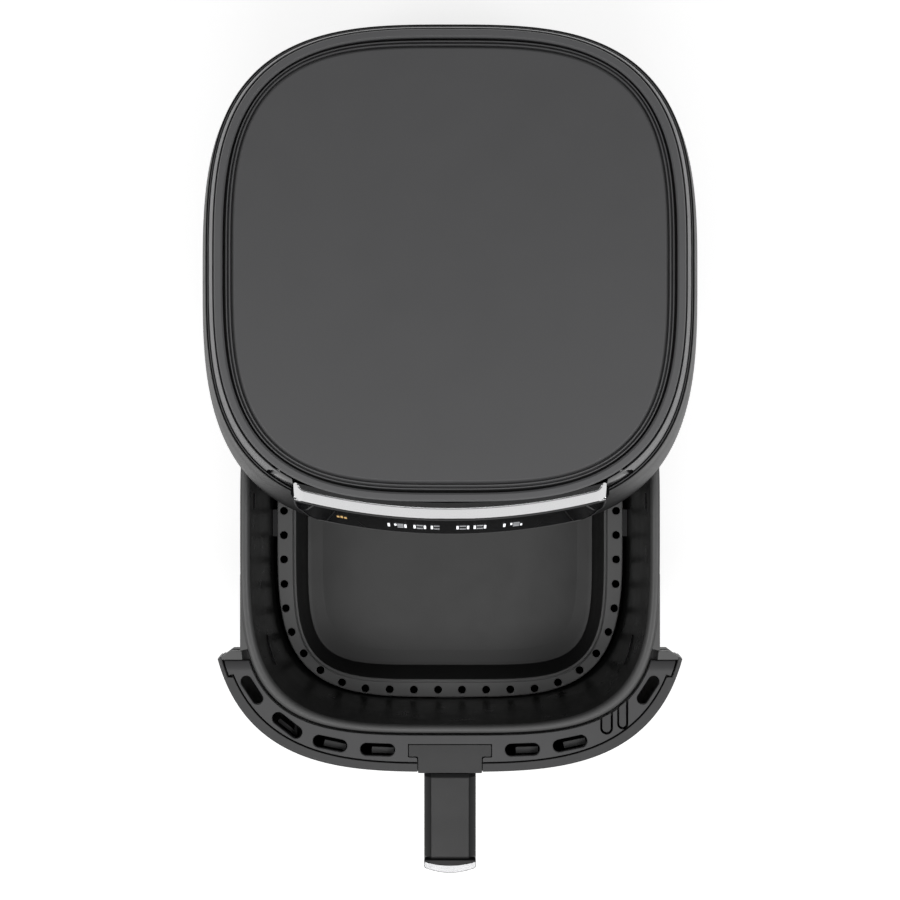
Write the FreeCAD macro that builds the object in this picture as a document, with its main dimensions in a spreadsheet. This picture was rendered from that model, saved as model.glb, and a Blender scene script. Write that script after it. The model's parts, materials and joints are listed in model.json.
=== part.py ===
import FreeCAD, Part
import math
import os

# Basket air fryer: squircle housing, pull-out pot with crisper plate, fan and heater above.
# Millimetres. Z up from the surface the feet stand on. Front of the appliance is -Y.
# Every sub-part is drawn about its own assembly's vertical centre line (housing or drawer)
# and moved there by its Placement.

V = FreeCAD.Vector
doc = FreeCAD.newDocument("AirFryer")

# ------------------------------------------------------------------ driving dimensions
DIMS = [
    ("housing_y", 105.8), ("drawer_pull", 150.9),
    ("lid_height", 316.0), ("seam_height", 293.0), ("shell_bottom", 10.0), ("shell_wall", 2.8),
    ("lid_half", 119.1), ("lid_square", 3.33), ("ring_half", 130.3), ("ring_square", 3.10),
    ("shell_square", 3.12), ("groove_half", 125.3), ("deck_top", 308.0), ("deck_under", 303.0),
    ("collar_low_half", 135.4), ("collar_top_half", 131.0), ("collar_top", 311.0),
    ("mouth_face", 79.2), ("mouth_top", 187.6), ("mouth_low", 20.5), ("frame_front", 73.0),
    ("foot_radius", 9.0), ("foot_tall", 6.0), ("foot_spread", 92.0),
    ("base_half", 143.6), ("base_thick", 6.0),
    ("trim_axis", 204.5), ("trim_half", 86.9), ("trim_top", 309.0), ("trim_low", 298.8),
    ("trim_in", 130.9), ("trim_mid", 134.5), ("trim_out", 140.5),
    ("panel_top", 298.0), ("panel_low", 256.0), ("panel_top_out", 141.6), ("panel_low_out", 150.6),
    ("panel_thick", 3.0), ("panel_half_top", 87.5), ("panel_half_low", 75.7),
    ("digit_wide", 8.0), ("digit_tall", 16.0), ("digit_stroke", 1.5),
    ("bay_half", 134.0), ("bay_wall", 1.2), ("bay_floor", 40.0), ("bay_square", 3.8),
    ("ceiling_low", 188.0), ("ceiling_top", 190.5), ("heater_mouth", 119.0),
    ("rail_low", 175.4), ("rail_top", 179.4), ("rail_reach", 128.6), ("rail_length", 94.0),
    ("shield_top", 244.0), ("shield_wall", 1.2),
    ("element_height", 208.0), ("element_outer", 82.0), ("element_inner", 52.0), ("element_tube", 3.2),
    ("guard_height", 194.0), ("guard_wire", 1.2),
    ("shaft_radius", 3.0), ("shaft_low", 209.0), ("shaft_top", 288.0),
    ("bearing_outer", 8.0), ("bearing_inner", 3.04), ("bearing_tall", 5.5),
    ("motor_radius", 28.0), ("motor_low", 260.5), ("motor_top", 286.0),
    ("core_radius", 14.0), ("core_low", 267.5), ("core_top", 278.5),
    ("bracket_half", 64.0), ("bracket_wide", 36.0), ("bracket_gauge", 1.5),
    ("hotfan_radius", 62.0), ("hotfan_low", 213.8), ("hotfan_top", 226.0), ("hotfan_gauge", 1.2),
    ("coolfan_radius", 54.0), ("coolfan_low", 247.5), ("coolfan_top", 256.5),
    ("nut_flats", 10.0), ("nut_tall", 3.4),
    ("board_long", 92.0), ("board_wide", 52.0), ("board_gauge", 1.6), ("board_height", 262.0),
    ("board_y", 52.0),
    ("pull_half", 150.9), ("pull_square", 3.24), ("band_half", 145.5), ("pull_wall", 3.0),
    ("pull_top", 185.0), ("pull_low", 22.5), ("pull_end", 75.2), ("pull_tip", 80.7),
    ("plate_gauge", 3.2), ("plate_gap_x", 131.7), ("plate_gap_y", 127.8),
    ("slot_long", 21.6), ("slot_wide", 7.6),
    ("tee_half", 25.7), ("tee_stem", 19.9), ("tee_back", 133.9), ("tee_mid", 141.4), ("tee_front", 152.4),
    ("handle_half", 16.1), ("handle_flat", 11.4), ("handle_front", 205.2), ("handle_top", 186.6),
    ("handle_low", 70.0), ("arm_under", 162.0), ("grip_back", 185.0),
    ("strip_front", 210.8), ("strip_bulge", 213.7),
    ("rim_x", 130.5), ("rim_y", 126.6), ("rim_in_x", 124.6), ("rim_in_y", 121.6), ("rim_top", 186.2),
    ("rim_under", 180.6), ("rim_square", 3.8), ("pot_wall", 1.5), ("pot_under", 50.5), ("pot_floor", 52.0),
    ("tray_x", 116.4), ("tray_y", 116.8), ("tray_top", 87.0), ("tray_gauge", 1.2), ("tray_lip", 104.0),
    ("tray_floor", 65.0), ("tray_floor_half", 96.7), ("tray_square", 3.7), ("tray_hole", 2.55),
    ("post_radius", 7.0),
    ("switch_travel", 2.5), ("plunger_radius", 2.0),
]
sheet = doc.addObject("Spreadsheet::Sheet", "Dims")
for row, (name, number) in enumerate(DIMS, start=1):
    sheet.set("A%d" % row, name)
    sheet.set("B%d" % row, repr(float(number)))
    sheet.setAlias("B%d" % row, name)
doc.recompute()


class Q:
    """A size: its value now, and the spreadsheet formula that gives it."""

    def __init__(self, value, text):
        self.v = float(value)
        self.t = text

    def _mix(self, other, sign, swap=False):
        o = other if isinstance(other, Q) else Q(other, repr(float(other)))
        a, b = (o, self) if swap else (self, o)
        v = {"+": a.v + b.v, "-": a.v - b.v, "*": a.v * b.v, "/": a.v / b.v if b.v else 0.0}[sign]
        return Q(v, "(%s %s %s)" % (a.t, sign, b.t))

    def __add__(self, o): return self._mix(o, "+")
    def __radd__(self, o): return self._mix(o, "+", True)
    def __sub__(self, o): return self._mix(o, "-")
    def __rsub__(self, o): return self._mix(o, "-", True)
    def __mul__(self, o): return self._mix(o, "*")
    def __rmul__(self, o): return self._mix(o, "*", True)
    def __truediv__(self, o): return self._mix(o, "/")
    def __neg__(self): return self._mix(-1.0, "*")


def D(name):
    return Q(float(getattr(sheet, name)), "Dims." + name)


def val(q):
    return q.v if isinstance(q, Q) else float(q)


def S(name):
    return float(getattr(sheet, name))


HY = D("housing_y")
DY = D("housing_y") - D("drawer_pull")
NODES = []


def bind(obj, prop, q):
    if isinstance(q, Q):
        obj.setExpression(prop, q.t)


def place(obj, y_shift, rot=None, x=0.0, z=0.0, base_y=0.0):
    """Move a sub-part to its assembly's centre line; the shift stays bound to the sheet."""
    yq = y_shift + base_y
    obj.Placement = FreeCAD.Placement(V(val(x), val(yq), val(z)), rot or FreeCAD.Rotation())
    bind(obj, "Placement.Base.y", yq)
    bind(obj, "Placement.Base.x", x)
    bind(obj, "Placement.Base.z", z)


def node(obj, label):
    obj.Label = label
    NODES.append((label, obj))
    return obj


# ------------------------------------------------------------------ PartDesign helpers
def new_body(name):
    b = doc.addObject("PartDesign::Body", "Body_" + name)
    if hasattr(b, "AllowCompound"):
        b.AllowCompound = True
    return b


def origin_plane(body, role):
    return [f for f in body.Origin.OriginFeatures if f.Role == role][0]


def new_sketch(body, name, role, offset=None):
    sk = body.newObject("Sketcher::SketchObject", name)
    sk.AttachmentSupport = [(origin_plane(body, role), "")]
    sk.MapMode = "FlatFace"
    if offset is not None:
        sk.AttachmentOffset = FreeCAD.Placement(V(0, 0, val(offset)), FreeCAD.Rotation())
        bind(sk, "AttachmentOffset.Base.z", offset)
    return sk


def pin_point(sk, geo, pos, x, y):
    import Sketcher
    for axis, q in (("DistanceX", x), ("DistanceY", y)):
        if abs(val(q)) < 1e-9:
            sk.addConstraint(Sketcher.Constraint("PointOnObject", geo, pos, -2 if axis == "DistanceX" else -1))
        else:
            i = sk.addConstraint(Sketcher.Constraint(axis, -1, 1, geo, pos, val(q)))
            if isinstance(q, Q):
                sk.setExpression("Constraints[%d]" % i, q.t)


def poly(sk, pts):
    import Sketcher
    first = sk.GeometryCount
    k = len(pts)
    for i in range(k):
        a, b = pts[i], pts[(i + 1) % k]
        sk.addGeometry(Part.LineSegment(V(val(a[0]), val(a[1]), 0), V(val(b[0]), val(b[1]), 0)), False)
    for i in range(k):
        sk.addConstraint(Sketcher.Constraint("Coincident", first + i, 2, first + (i + 1) % k, 1))
    for i in range(k):
        pin_point(sk, first + i, 1, pts[i][0], pts[i][1])


def rect(sk, x0, x1, y0, y1):
    poly(sk, [(x0, y0), (x1, y0), (x1, y1), (x0, y1)])


def circle(sk, x, y, r):
    import Sketcher
    g = sk.addGeometry(Part.Circle(V(val(x), val(y), 0), V(0, 0, 1), val(r)), False)
    pin_point(sk, g, 3, x, y)
    i = sk.addConstraint(Sketcher.Constraint("Radius", g, val(r)))
    if isinstance(r, Q):
        sk.setExpression("Constraints[%d]" % i, r.t)


def pad(body, sk, length, mid=False, rev=False, name="Pad"):
    f = body.newObject("PartDesign::Pad", name)
    f.Profile = sk
    f.Length = val(length)
    bind(f, "Length", length)
    f.Midplane = mid
    f.Reversed = rev
    return f


def pocket(body, sk, length=None, mid=False, rev=False, name="Pocket"):
    before = None
    f = body.newObject("PartDesign::Pocket", name)
    f.Profile = sk
    if length is None:
        f.Type = 1
    else:
        f.Length = val(length)
        bind(f, "Length", length)
    f.Midplane = mid
    f.Reversed = rev
    return f


def polar(body, feature, count, axis_role="Z_Axis", angle=360.0):
    f = body.newObject("PartDesign::PolarPattern", "Polar")
    f.Originals = [feature]
    f.Axis = (origin_plane(body, axis_role), [""])
    f.Angle = angle
    f.Occurrences = count
    body.Tip = f
    return f


# ------------------------------------------------------------------ squircle helpers
def squircle(a, b, n, z, yc=0.0, count=72):
    pts = []
    for i in range(count):
        u = 2 * math.pi * i / count
        c, s = math.cos(u), math.sin(u)
        r = (abs(c / a) ** n + abs(s / b) ** n) ** (-1.0 / n)
        pts.append(V(r * c, yc + r * s, z))
    c = Part.BSplineCurve()
    c.interpolate(Points=pts, PeriodicFlag=True)
    return Part.Wire([c.toShape()])


def prism(a, b, n, z0, z1):
    return Part.Face(squircle(a, b, n, z0)).extrude(V(0, 0, z1 - z0))


def tower(levels, n, straight=False):
    """Closed solid through (z, half x, half y) squircle levels."""
    return Part.makeLoft([squircle(l[1], l[2] if len(l) > 2 else l[1], l[3] if len(l) > 3 else n, l[0])
                          for l in levels], True, straight)


def block(x0, x1, y0, y1, z0, z1):
    return Part.makeBox(x1 - x0, y1 - y0, z1 - z0, V(x0, y0, z0))


def prism_y(pts, y0, y1):
    """Polygon in the XZ plane pulled along Y."""
    w = Part.makePolygon([V(x, y0, z) for x, z in pts] + [V(pts[0][0], y0, pts[0][1])])
    return Part.Face(w).extrude(V(0, y1 - y0, 0))


def prism_z(pts, z0, z1):
    w = Part.makePolygon([V(x, y, z0) for x, y in pts] + [V(pts[0][0], pts[0][1], z0)])
    return Part.Face(w).extrude(V(0, 0, z1 - z0))


def revolved(pts, half_angle):
    """(front distance, height) section swept about the upright axis that the control panel bends around."""
    ax = S("trim_axis")
    w = Part.makePolygon([V(0, -r, z) for r, z in pts] + [V(0, -pts[0][0], pts[0][1])])
    f = Part.Face(w)
    f.rotate(V(0, ax, 0), V(0, 0, 1), -half_angle)
    return f.revolve(V(0, ax, 0), V(0, 0, 1), 2 * half_angle)


def feature(label, shape, y_shift):
    o = doc.addObject("Part::Feature", "Solid_" + label)
    if shape.ShapeType == "Compound" and len(shape.Solids) == 1:
        shape = shape.Solids[0]
    o.Shape = shape
    place(o, y_shift)
    return node(o, label)


# ------------------------------------------------------------------ housing envelope
NQ = S("shell_square")
WALL = S("shell_wall")
# barrel profile: half width of the shell at each height
PROFILE = [(10.0, 145.6), (18.0, 146.5), (40.0, 148.6), (80.0, 151.3), (120.0, 152.7), (155.0, 153.0),
           (187.0, 152.0), (216.0, 149.2), (240.0, 146.2), (262.0, 142.9), (278.0, 139.9), (292.3, 136.9)]


def half_at(z):
    for (z0, a0), (z1, a1) in zip(PROFILE, PROFILE[1:]):
        if z <= z1:
            return a0 + (a1 - a0) * (z - z0) / (z1 - z0)
    return PROFILE[-1][1]


outer = tower(PROFILE, NQ)
inner = tower([(z, a - WALL) for z, a in [(9.0, 145.5)] + PROFILE[1:-1] + [(293.4, 136.7)]], NQ)
shell = outer.cut(inner)
mouth = block(-200, 200, -220, -S("mouth_face"), S("mouth_low"), S("mouth_top"))
window = block(-80, 80, -200, -60, 258.0, 300.0)  # wiring window behind the display
lower = shell.cut(mouth).cut(window)
vent_cuts = []
for i in range(-6, 7):
    vent_cuts.append(block(i * 7.0 - 1.6, i * 7.0 + 1.6, 120, 170, 212, 254))
lower = lower.cut(Part.makeCompound(vent_cuts))
gland_hole = Part.makeCylinder(7.2, 40, V(70, 120, 36), V(0, 1, 0))
lower = lower.cut(gland_hole)
feature("lower_housing", lower, HY)

# recessed seam between the lower shell and the collar
seam = prism(134.9, 134.9, NQ, 292.3, 293.6).cut(prism(130.2, 130.2, NQ, 292.0, 294.0))
seam = seam.fuse(prism(133.8, 133.8, NQ, 286.0, 292.3).cut(prism(131.6, 131.6, NQ, 285.0, 293.0)))
seam = seam.fuse(prism(131.65, 131.65, NQ, 293.6, 298.0).cut(prism(130.2, 130.2, NQ, 293.0, 300.0))).removeSplitter()
seam = seam.cut(block(-103, 103, -200, -60, 280, 305))
feature("seam_ring", seam, HY)

# collar shoulder that rises to the lid ring, open at the front for the control panel
col_lo, col_hi, col_top = S("collar_low_half"), S("collar_top_half"), S("collar_top")
collar_out = tower([(293.6, col_lo), (300.0, col_lo - 1.1), (306.0, col_lo - 2.6), (col_top, col_hi)], NQ)
collar = collar_out.cut(tower([(293.0, 132.6), (302.8, 131.5)], NQ, True)).cut(prism(128.9, 128.9, NQ, 302.0, 313.0))
panel_bite = prism_y([(-102.5, 293.0), (102.5, 293.0), (93.6, 312.5), (-93.6, 312.5)], -220, -60)
rear_tab = block(-4.2, 4.2, 132.6, 136.6, 293.8, 297.2)
front_wedge = prism_y([(-102.2, 292.0), (102.2, 292.0), (93.0, 312.9), (-93.0, 312.9)], -220, -60)
chrome_room = block(-87.25, 87.25, -220, -60, 298.3, 320.0)
cheeks = [q.copy() for q in collar.common(front_wedge).cut(chrome_room).Solids if q.Volume > 20.0]
upper_collar = collar.cut(panel_bite).fuse(rear_tab)
feature("upper_collar", upper_collar, HY)

# deck under the lid, lid ring and raised lid panel
deck = prism(128.6, 128.6, NQ, S("deck_under"), S("deck_top")).cut(prism(112, 112, 3.2, S("deck_under") - 1, S("deck_under") + 2.6))
deck = deck.cut(Part.makeCompound([block(i * 9.0 - 2, i * 9.0 + 2, 60, 104, 300, 307.0) for i in range(-5, 6)]))
feature("top_deck", deck, HY)
rn = S("ring_square")
ring_out = tower([(S("deck_top"), 128.6), (311.1, 128.6), (311.15, 130.3), (313.6, 130.3), (314.5, 129.9), (314.9, 129.2)], rn, True)
ring_in = tower([(S("deck_top") - 1, 125.2, 125.2, 3.2), (313.9, 125.3, 125.3, 3.2), (316.0, 126.6, 126.6, 3.2)], 3.2, True)
feature("lid_ring", ring_out.cut(ring_in), HY)
ln = S("lid_square")
lid = tower([(S("deck_top"), 123.1, 123.1, 3.25), (313.4, 123.1, 123.1, 3.25), (313.9, 122.6, 122.6, 3.25)], ln, True)
lid = lid.fuse(tower([(S("deck_top"), 121.3, 121.3, 3.28), (314.7, 121.3, 121.3, 3.28), (315.1, 120.9, 120.9, 3.28)], ln, True))
lid = lid.fuse(tower([(S("deck_top"), 119.9), (315.4, 119.8), (316.0, S("lid_half"))], ln, True)).removeSplitter()
feature("lid_panel", lid, HY)

# ------------------------------------------------------------------ control panel group
bulge = revolved([(120.0, 298.3), (138.3, 298.3), (147.35, 256.0), (150.4, 255.5), (150.1, 252.9), (143.6, 247.5), (120.0, 247.5)], 15.2)
side_trim = prism_y([(-89.0, 299.0), (89.0, 299.0), (88.0, 276.0), (85.5, 264.0), (79.0, 253.5), (66.0, 247.0), (-66.0, 247.0),
                     (-79.0, 253.5), (-85.5, 264.0), (-88.0, 276.0)], -260, -60)
bulge = bulge.common(side_trim)
env = tower([(z, a_) for z, a_ in PROFILE if 200 < z < 293], NQ, True)
apron = bulge.cut(env).cut(outer).cut(prism(135.45, 135.45, NQ, 292.0, 300.0))
ctrl_solids = cheeks + [q for q in apron.Solids if q.Volume > 20.0]
ctrl = Part.makeCompound(ctrl_solids)
feature("control_housing", ctrl, HY)

# chrome trim: faceted band bent about the trim axis
body = new_body("chrome_trim")
sk = new_sketch(body, "TrimSection", "YZ_Plane")
ta = D("trim_axis")
poly(sk, [(-(D("trim_in") + ta), D("trim_low")), (-(D("trim_out") + ta), D("trim_low")),
          (-(D("trim_out") + ta), D("trim_low") + 1.3), (-(D("trim_mid") + ta), D("trim_top") - 0.9),
          (-(D("trim_in") + ta), D("trim_top"))])
rev = body.newObject("PartDesign::Revolution", "TrimBend")
rev.Profile = sk
rev.ReferenceAxis = (origin_plane(body, "Z_Axis"), [""])
rev.Angle = 29.2
rev.Midplane = True
place(body, HY + ta)
node(body, "chrome_trim")

# glossy display panel leaning back, lower corners cut away
body = new_body("display_panel")
sk = new_sketch(body, "PanelSection", "YZ_Plane")
pt, pl = D("panel_top"), D("panel_low")
po, pq = D("panel_top_out"), D("panel_low_out")
th = D("panel_thick")
poly(sk, [(-(po + ta - 0.5), pt), (-(po + ta), pt - 1.0), (-(pq + ta), pl + 0.7), (-(pq + ta - 0.7), pl),
          (-(pq + ta - th), pl + 0.6), (-(po + ta - th), pt)])
rev = body.newObject("PartDesign::Revolution", "PanelBend")
rev.Profile = sk
rev.ReferenceAxis = (origin_plane(body, "Z_Axis"), [""])
rev.Angle = 32.0
rev.Midplane = True
sk2 = new_sketch(body, "PanelOutline", "XZ_Plane")
wt, wl = D("panel_half_top"), D("panel_half_low")
big = 150.0
poly(sk2, [(wt, pt + 20), (wt, pt - 14), (wt - 2.5, pt - 22), (wt - 5.3, pt - 34), (wl, pl - 1),
           (wl, pl - 20), (big, pl - 20), (big, pt + 20)])
poly(sk2, [(-wt, pt + 20), (-wt, pt - 14), (-(wt - 2.5), pt - 22), (-(wt - 5.3), pt - 34), (-wl, pl - 1),
           (-wl, pl - 20), (-big, pl - 20), (-big, pt + 20)])
doc.recompute()
vol_before = body.Shape.Volume
pk = pocket(body, sk2, 700.0, mid=True, name="PanelCorners")
doc.recompute()
assert body.Shape.Volume < vol_before - 10, "panel corners were not cut"
place(body, HY + ta)
node(body, "display_panel")

# lit segments of the read-out, on the panel's face
SEG = {"0": "abcdef", "1": "bc", "5": "afgcd", "9": "abcdfg", "C": "aefd"}
dw, dt, st = S("digit_wide"), S("digit_tall"), S("digit_stroke")
lean = math.degrees(math.atan2(S("panel_low_out") - S("panel_top_out"), S("panel_top") - S("panel_low") - 1.7))
mid_z = 277.6
mid_r = S("panel_top_out") + (S("panel_top") - 1.0 - mid_z) * math.tan(math.radians(lean))
lift = 0.23  # the segments lie on the face of the panel
mid_r += lift * math.cos(math.radians(lean))
mid_z += lift * math.sin(math.radians(lean))
segs = []
for ch, cx in (("1", -35.0), ("9", -28.2), ("0", -17.4), ("C", -7.0), ("0", 7.2), ("0", 17.4), ("1", 31.0), ("5", 37.6)):
    parts = SEG[ch]
    w2, h2 = dw / 2, dt / 2
    where = {"a": (-w2 + st, w2 - st, h2 - st, h2), "d": (-w2 + st, w2 - st, -h2, -h2 + st),
             "g": (-w2 + st, w2 - st, -st / 2, st / 2), "b": (w2 - st, w2, 0.4, h2 - 0.4),
             "c": (w2 - st, w2, -h2 + 0.4, -0.4), "f": (-w2, -w2 + st, 0.4, h2 - 0.4), "e": (-w2, -w2 + st, -h2 + 0.4, -0.4)}
    for p in parts:
        x0, x1, z0, z1 = where[p]
        s = Part.makeBox(x1 - x0, 0.4, z1 - z0, V(x0, -0.2, z0))
        s.rotate(V(0, 0, 0), V(1, 0, 0), -lean)
        ang = math.degrees(math.asin(cx / (mid_r + S("trim_axis"))))
        s.translate(V(0, -(mid_r + S("trim_axis")), mid_z))
        s.rotate(V(0, 0, 0), V(0, 0, 1), ang)
        s.translate(V(0, S("trim_axis"), 0))
        segs.append(s)
icon = Part.makeBox(5.0, 0.4, 3.0, V(-2.5, -0.2, -1.5))
icon.rotate(V(0, 0, 0), V(1, 0, 0), -lean)
icon.translate(V(0, -(mid_r + 2.0 * math.tan(math.radians(lean)) + S("trim_axis")), mid_z - 2.0))
icon.rotate(V(0, 0, 0), V(0, 0, 1), math.degrees(math.asin(-63.5 / (mid_r + S("trim_axis")))))
icon.translate(V(0, S("trim_axis"), 0))
segs.append(icon)
feature("display_digits", Part.makeCompound(segs), HY)

body = new_body("display_board")
sk = new_sketch(body, "BoardOutline", "XZ_Plane")
rect(sk, -Q(66, "66"), Q(66, "66"), D("panel_low") + 7, D("panel_top") - 8)
pad(body, sk, D("board_gauge"), name="BoardSheet")
sk = new_sketch(body, "DisplayCase", "XZ_Plane", D("board_gauge"))
rect(sk, Q(-46, "-46"), Q(46, "46"), D("panel_low") + 10, D("panel_top") - 12)
pad(body, sk, Q(1.4, "1.4"), name="DisplayBlock")
place(body, HY, base_y=-122.5)
node(body, "display_board")

# ------------------------------------------------------------------ base
base = prism(142.0, 142.0, NQ, 10.2, 16.2)
base = base.fuse(prism(144.4, 144.4, NQ, 6.0, 10.0)).fuse(prism(141.0, 141.0, NQ, 9.0, 12.0))
base = base.cut(prism(138.0, 138.0, NQ, 8.6, 20.0)).removeSplitter()
louvres = [block(-60, 60, i * 8.0 - 1.8, i * 8.0 + 1.8, 0, 12) for i in range(-5, 6)]
base = base.cut(Part.makeCompound(louvres))
bosses = [Part.makeCylinder(5.0, 8.4, V(x, y, 8.6)) for x in (-108, 108) for y in (-100, 100)]
for b_ in bosses:
    base = base.fuse(b_)
base = base.cut(Part.makeCompound([Part.makeCylinder(1.9, 30, V(x, y, 0)) for x in (-108, 108) for y in (-100, 100)]))
feature("base_plate", base.removeSplitter(), HY)

body = new_body("foot_pads")
sk = new_sketch(body, "FootCircles", "XY_Plane")
fs = D("foot_spread")
for sx in (-1.0, 1.0):
    for sy in (-1.0, 1.0):
        circle(sk, fs * sx, fs * sy, D("foot_radius"))
pad(body, sk, D("foot_tall"), name="FootPad")
place(body, HY)
node(body, "foot_pads")

body = new_body("housing_screws")
sk = new_sketch(body, "ScrewShanks", "XY_Plane", Q(8.0, "8"))
for x in (-108.0, 108.0):
    for y in (-100.0, 100.0):
        circle(sk, Q(x, repr(x)), Q(y, repr(y)), Q(1.8, "1.8"))
pad(body, sk, Q(8.0, "8"), name="Shank")
sk = new_sketch(body, "ScrewHeads", "XY_Plane", Q(4.2, "4.2"))
for x in (-108.0, 108.0):
    for y in (-100.0, 100.0):
        circle(sk, Q(x, repr(x)), Q(y, repr(y)), Q(3.6, "3.6"))
pad(body, sk, Q(1.8, "1.8"), name="Head")
sk = new_sketch(body, "ScrewNecks", "XY_Plane", Q(6.0, "6"))
for x in (-108.0, 108.0):
    for y in (-100.0, 100.0):
        circle(sk, Q(x, repr(x)), Q(y, repr(y)), Q(1.8, "1.8"))
pad(body, sk, Q(2.0, "2"), name="Neck")
place(body, HY)
node(body, "housing_screws")

# ------------------------------------------------------------------ drawer bay
bn, bh, bw, bf = S("bay_square"), S("bay_half"), S("bay_wall"), S("bay_floor")
ff = S("frame_front")


def bay_volume(off, z0, z1, front):
    v = prism(bh + off, bh + off - 2.0, bn, z0, z1)
    v = v.fuse(block(-(bh + off), bh + off, -120, 0, z0, z1)).removeSplitter()
    return v.common(block(-200, 200, -front, 200, z0 - 1, z1 + 1))


liner = bay_volume(bw, bf - bw, 187.9, ff).cut(bay_volume(0, bf, 189, ff + 5))
liner = liner.cut(Part.makeCylinder(2.9, 20, V(0, 125, 160), V(0, 1, 0)))
feature("bay_liner", liner, HY)

snug = tower([(z, a_ - WALL - 0.25) for z, a_ in [(9.0, 145.5)] + PROFILE[1:8]], NQ)
frame = snug.common(block(-200, 200, -ff, -ff + 2.6, 20.4, 187.8))
frame = frame.cut(block(-(bh + bw + 0.05), bh + bw + 0.05, -90, -60, bf - bw - 0.05, 190))
feature("bay_mouth_frame", frame, HY)

# floor tray below the drawer front's recess, closing the shell over the base
sill = prism(143.2, 143.2, NQ, 17.6, 20.2)
feature("bay_sill", sill, HY)

ceil = prism(148.6, 148.6, NQ, S("ceiling_low"), S("ceiling_top")).cut(prism(S("heater_mouth"), S("heater_mouth"), 3.0, 180, 195))
feature("bay_ceiling", ceil, HY)

body = new_body("drawer_rails")
sk = new_sketch(body, "RailSections", "XZ_Plane", -D("rail_length") + D("frame_front") + 1)
for sgn in (-1.0, 1.0):
    poly(sk, [((D("bay_half") - 0.06) * sgn, D("rail_low")), (D("rail_reach") * sgn, D("rail_low") + 2.4),
              (D("rail_reach") * sgn, D("rail_top")), ((D("bay_half") - 0.06) * sgn, D("rail_top"))])
pad(body, sk, D("rail_length") - 2, name="Rails")
place(body, HY)
node(body, "drawer_rails")

# ------------------------------------------------------------------ heater and fan unit
sn = 3.0
sh_out = tower([(190.5, 120.2), (192.0, 120.2), (228.0, 117.5), (238.0, 114.0), (242.5, 109.0), (S("shield_top"), 104.5)], sn, True)
sw = S("shield_wall")
sh_in = tower([(190.0, 119.0), (192.0, 119.0), (228.0, 116.2), (237.4, 112.8), (241.4, 108.2), (S("shield_top") - sw, 103.8)], sn, True)
shield = sh_out.cut(sh_in)
shield = shield.fuse(prism(124.0, 124.0, sn, 190.5, 191.7).cut(prism(120.0, 120.0, sn, 190, 193))).removeSplitter()
LEGS = [(76.0, 30.86), (44.0, 27.7)]
probe = (90.0, -50.0)
cuts = [Part.makeCylinder(6.5, 20, V(0, 0, 235))]
post = (70.0 * math.cos(math.radians(155.0)), 70.0 * math.sin(math.radians(155.0)))  # inner ring's riser, outside the fan
cuts += [Part.makeCylinder(4.2, 60, V(-S("element_outer"), 0, 200)), Part.makeCylinder(4.2, 60, V(post[0], post[1], 200))]
cuts += [Part.makeCylinder(2.4, 20, V(probe[0], probe[1], 235))]
shield = shield.cut(Part.makeCompound(cuts))
feature("heat_shield", shield, HY)

eo, ei, et, eh = S("element_outer"), S("element_inner"), S("element_tube"), S("element_height")


def arc_tube(R, r, z, a0, a1):
    seg = Part.makeTorus(R, r, V(0, 0, z), V(0, 0, 1), 0, 360, a1 - a0)
    seg.rotate(V(0, 0, 0), V(0, 0, 1), a0)
    return seg


def ball(x, y, z, r):
    return Part.makeSphere(r, V(x, y, z))


def rod(p, q, r):
    d = q.sub(p)
    return Part.makeCylinder(r, d.Length, p, d)


el = arc_tube(eo, et, eh, -165, 180).fuse(arc_tube(ei, et, eh, -165, 155))
a = math.radians(-165)
p1 = V(eo * math.cos(a), eo * math.sin(a), eh)
p2 = V(ei * math.cos(a), ei * math.sin(a), eh)
el = el.fuse([rod(p1, p2, et * 0.96), ball(p1.x, p1.y, p1.z, et * 1.06), ball(p2.x, p2.y, p2.z, et * 1.06)])
q1 = V(ei * math.cos(math.radians(155.0)), ei * math.sin(math.radians(155.0)), eh)
q2 = V(post[0], post[1], eh)
el = el.fuse([ball(q1.x, q1.y, eh, et * 1.06), rod(q1, q2, et * 0.96)])
for px, py in ((-eo, 0.0), post):
    el = el.fuse([ball(px, py, eh, et * 1.06), Part.makeCylinder(et * 0.96, 46, V(px, py, eh)), Part.makeCylinder(1.6, 8, V(px, py, eh + 46))])
feature("heating_element", el, HY)

gh, gw = S("guard_height"), S("guard_wire")
rings = [Part.makeTorus(R, gw, V(0, 0, gh), V(0, 0, 1)) for R in (28.0, 52.0, 76.0, 100.0)]
spokes = [rod(V(-118.4, 0, gh + 1.6), V(118.4, 0, gh + 1.6), gw + 0.3), rod(V(0, -118.4, gh + 1.6), V(0, 118.4, gh + 1.6), gw + 0.3)]
guard = spokes[0].fuse(spokes[1:] + rings)
feature("element_guard", guard, HY)

body = new_body("motor_bracket")
sk = new_sketch(body, "HatProfile", "XZ_Plane")
bx, bg, mz, sz = D("bracket_half"), D("bracket_gauge"), D("motor_low"), D("shield_top")
poly(sk, [(-(bx + 12), sz), (-(bx - bg), sz), (-(bx - bg), mz - bg), (bx - bg, mz - bg), (bx - bg, sz), (bx + 12, sz),
          (bx + 12, sz + bg), (bx, sz + bg), (bx, mz), (-bx, mz), (-bx, sz + bg), (-(bx + 12), sz + bg)])
pad(body, sk, D("bracket_wide"), mid=True, name="Hat")
sk = new_sketch(body, "ShaftOpening", "XY_Plane")
circle(sk, 0, 0, D("bearing_outer") + 1)
doc.recompute()
vb = body.Shape.Volume
pocket(body, sk, 700.0, mid=True, name="ShaftHole")
doc.recompute()
assert body.Shape.Volume < vb - 10, "bracket hole was not cut"
place(body, HY)
node(body, "motor_bracket")

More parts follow.
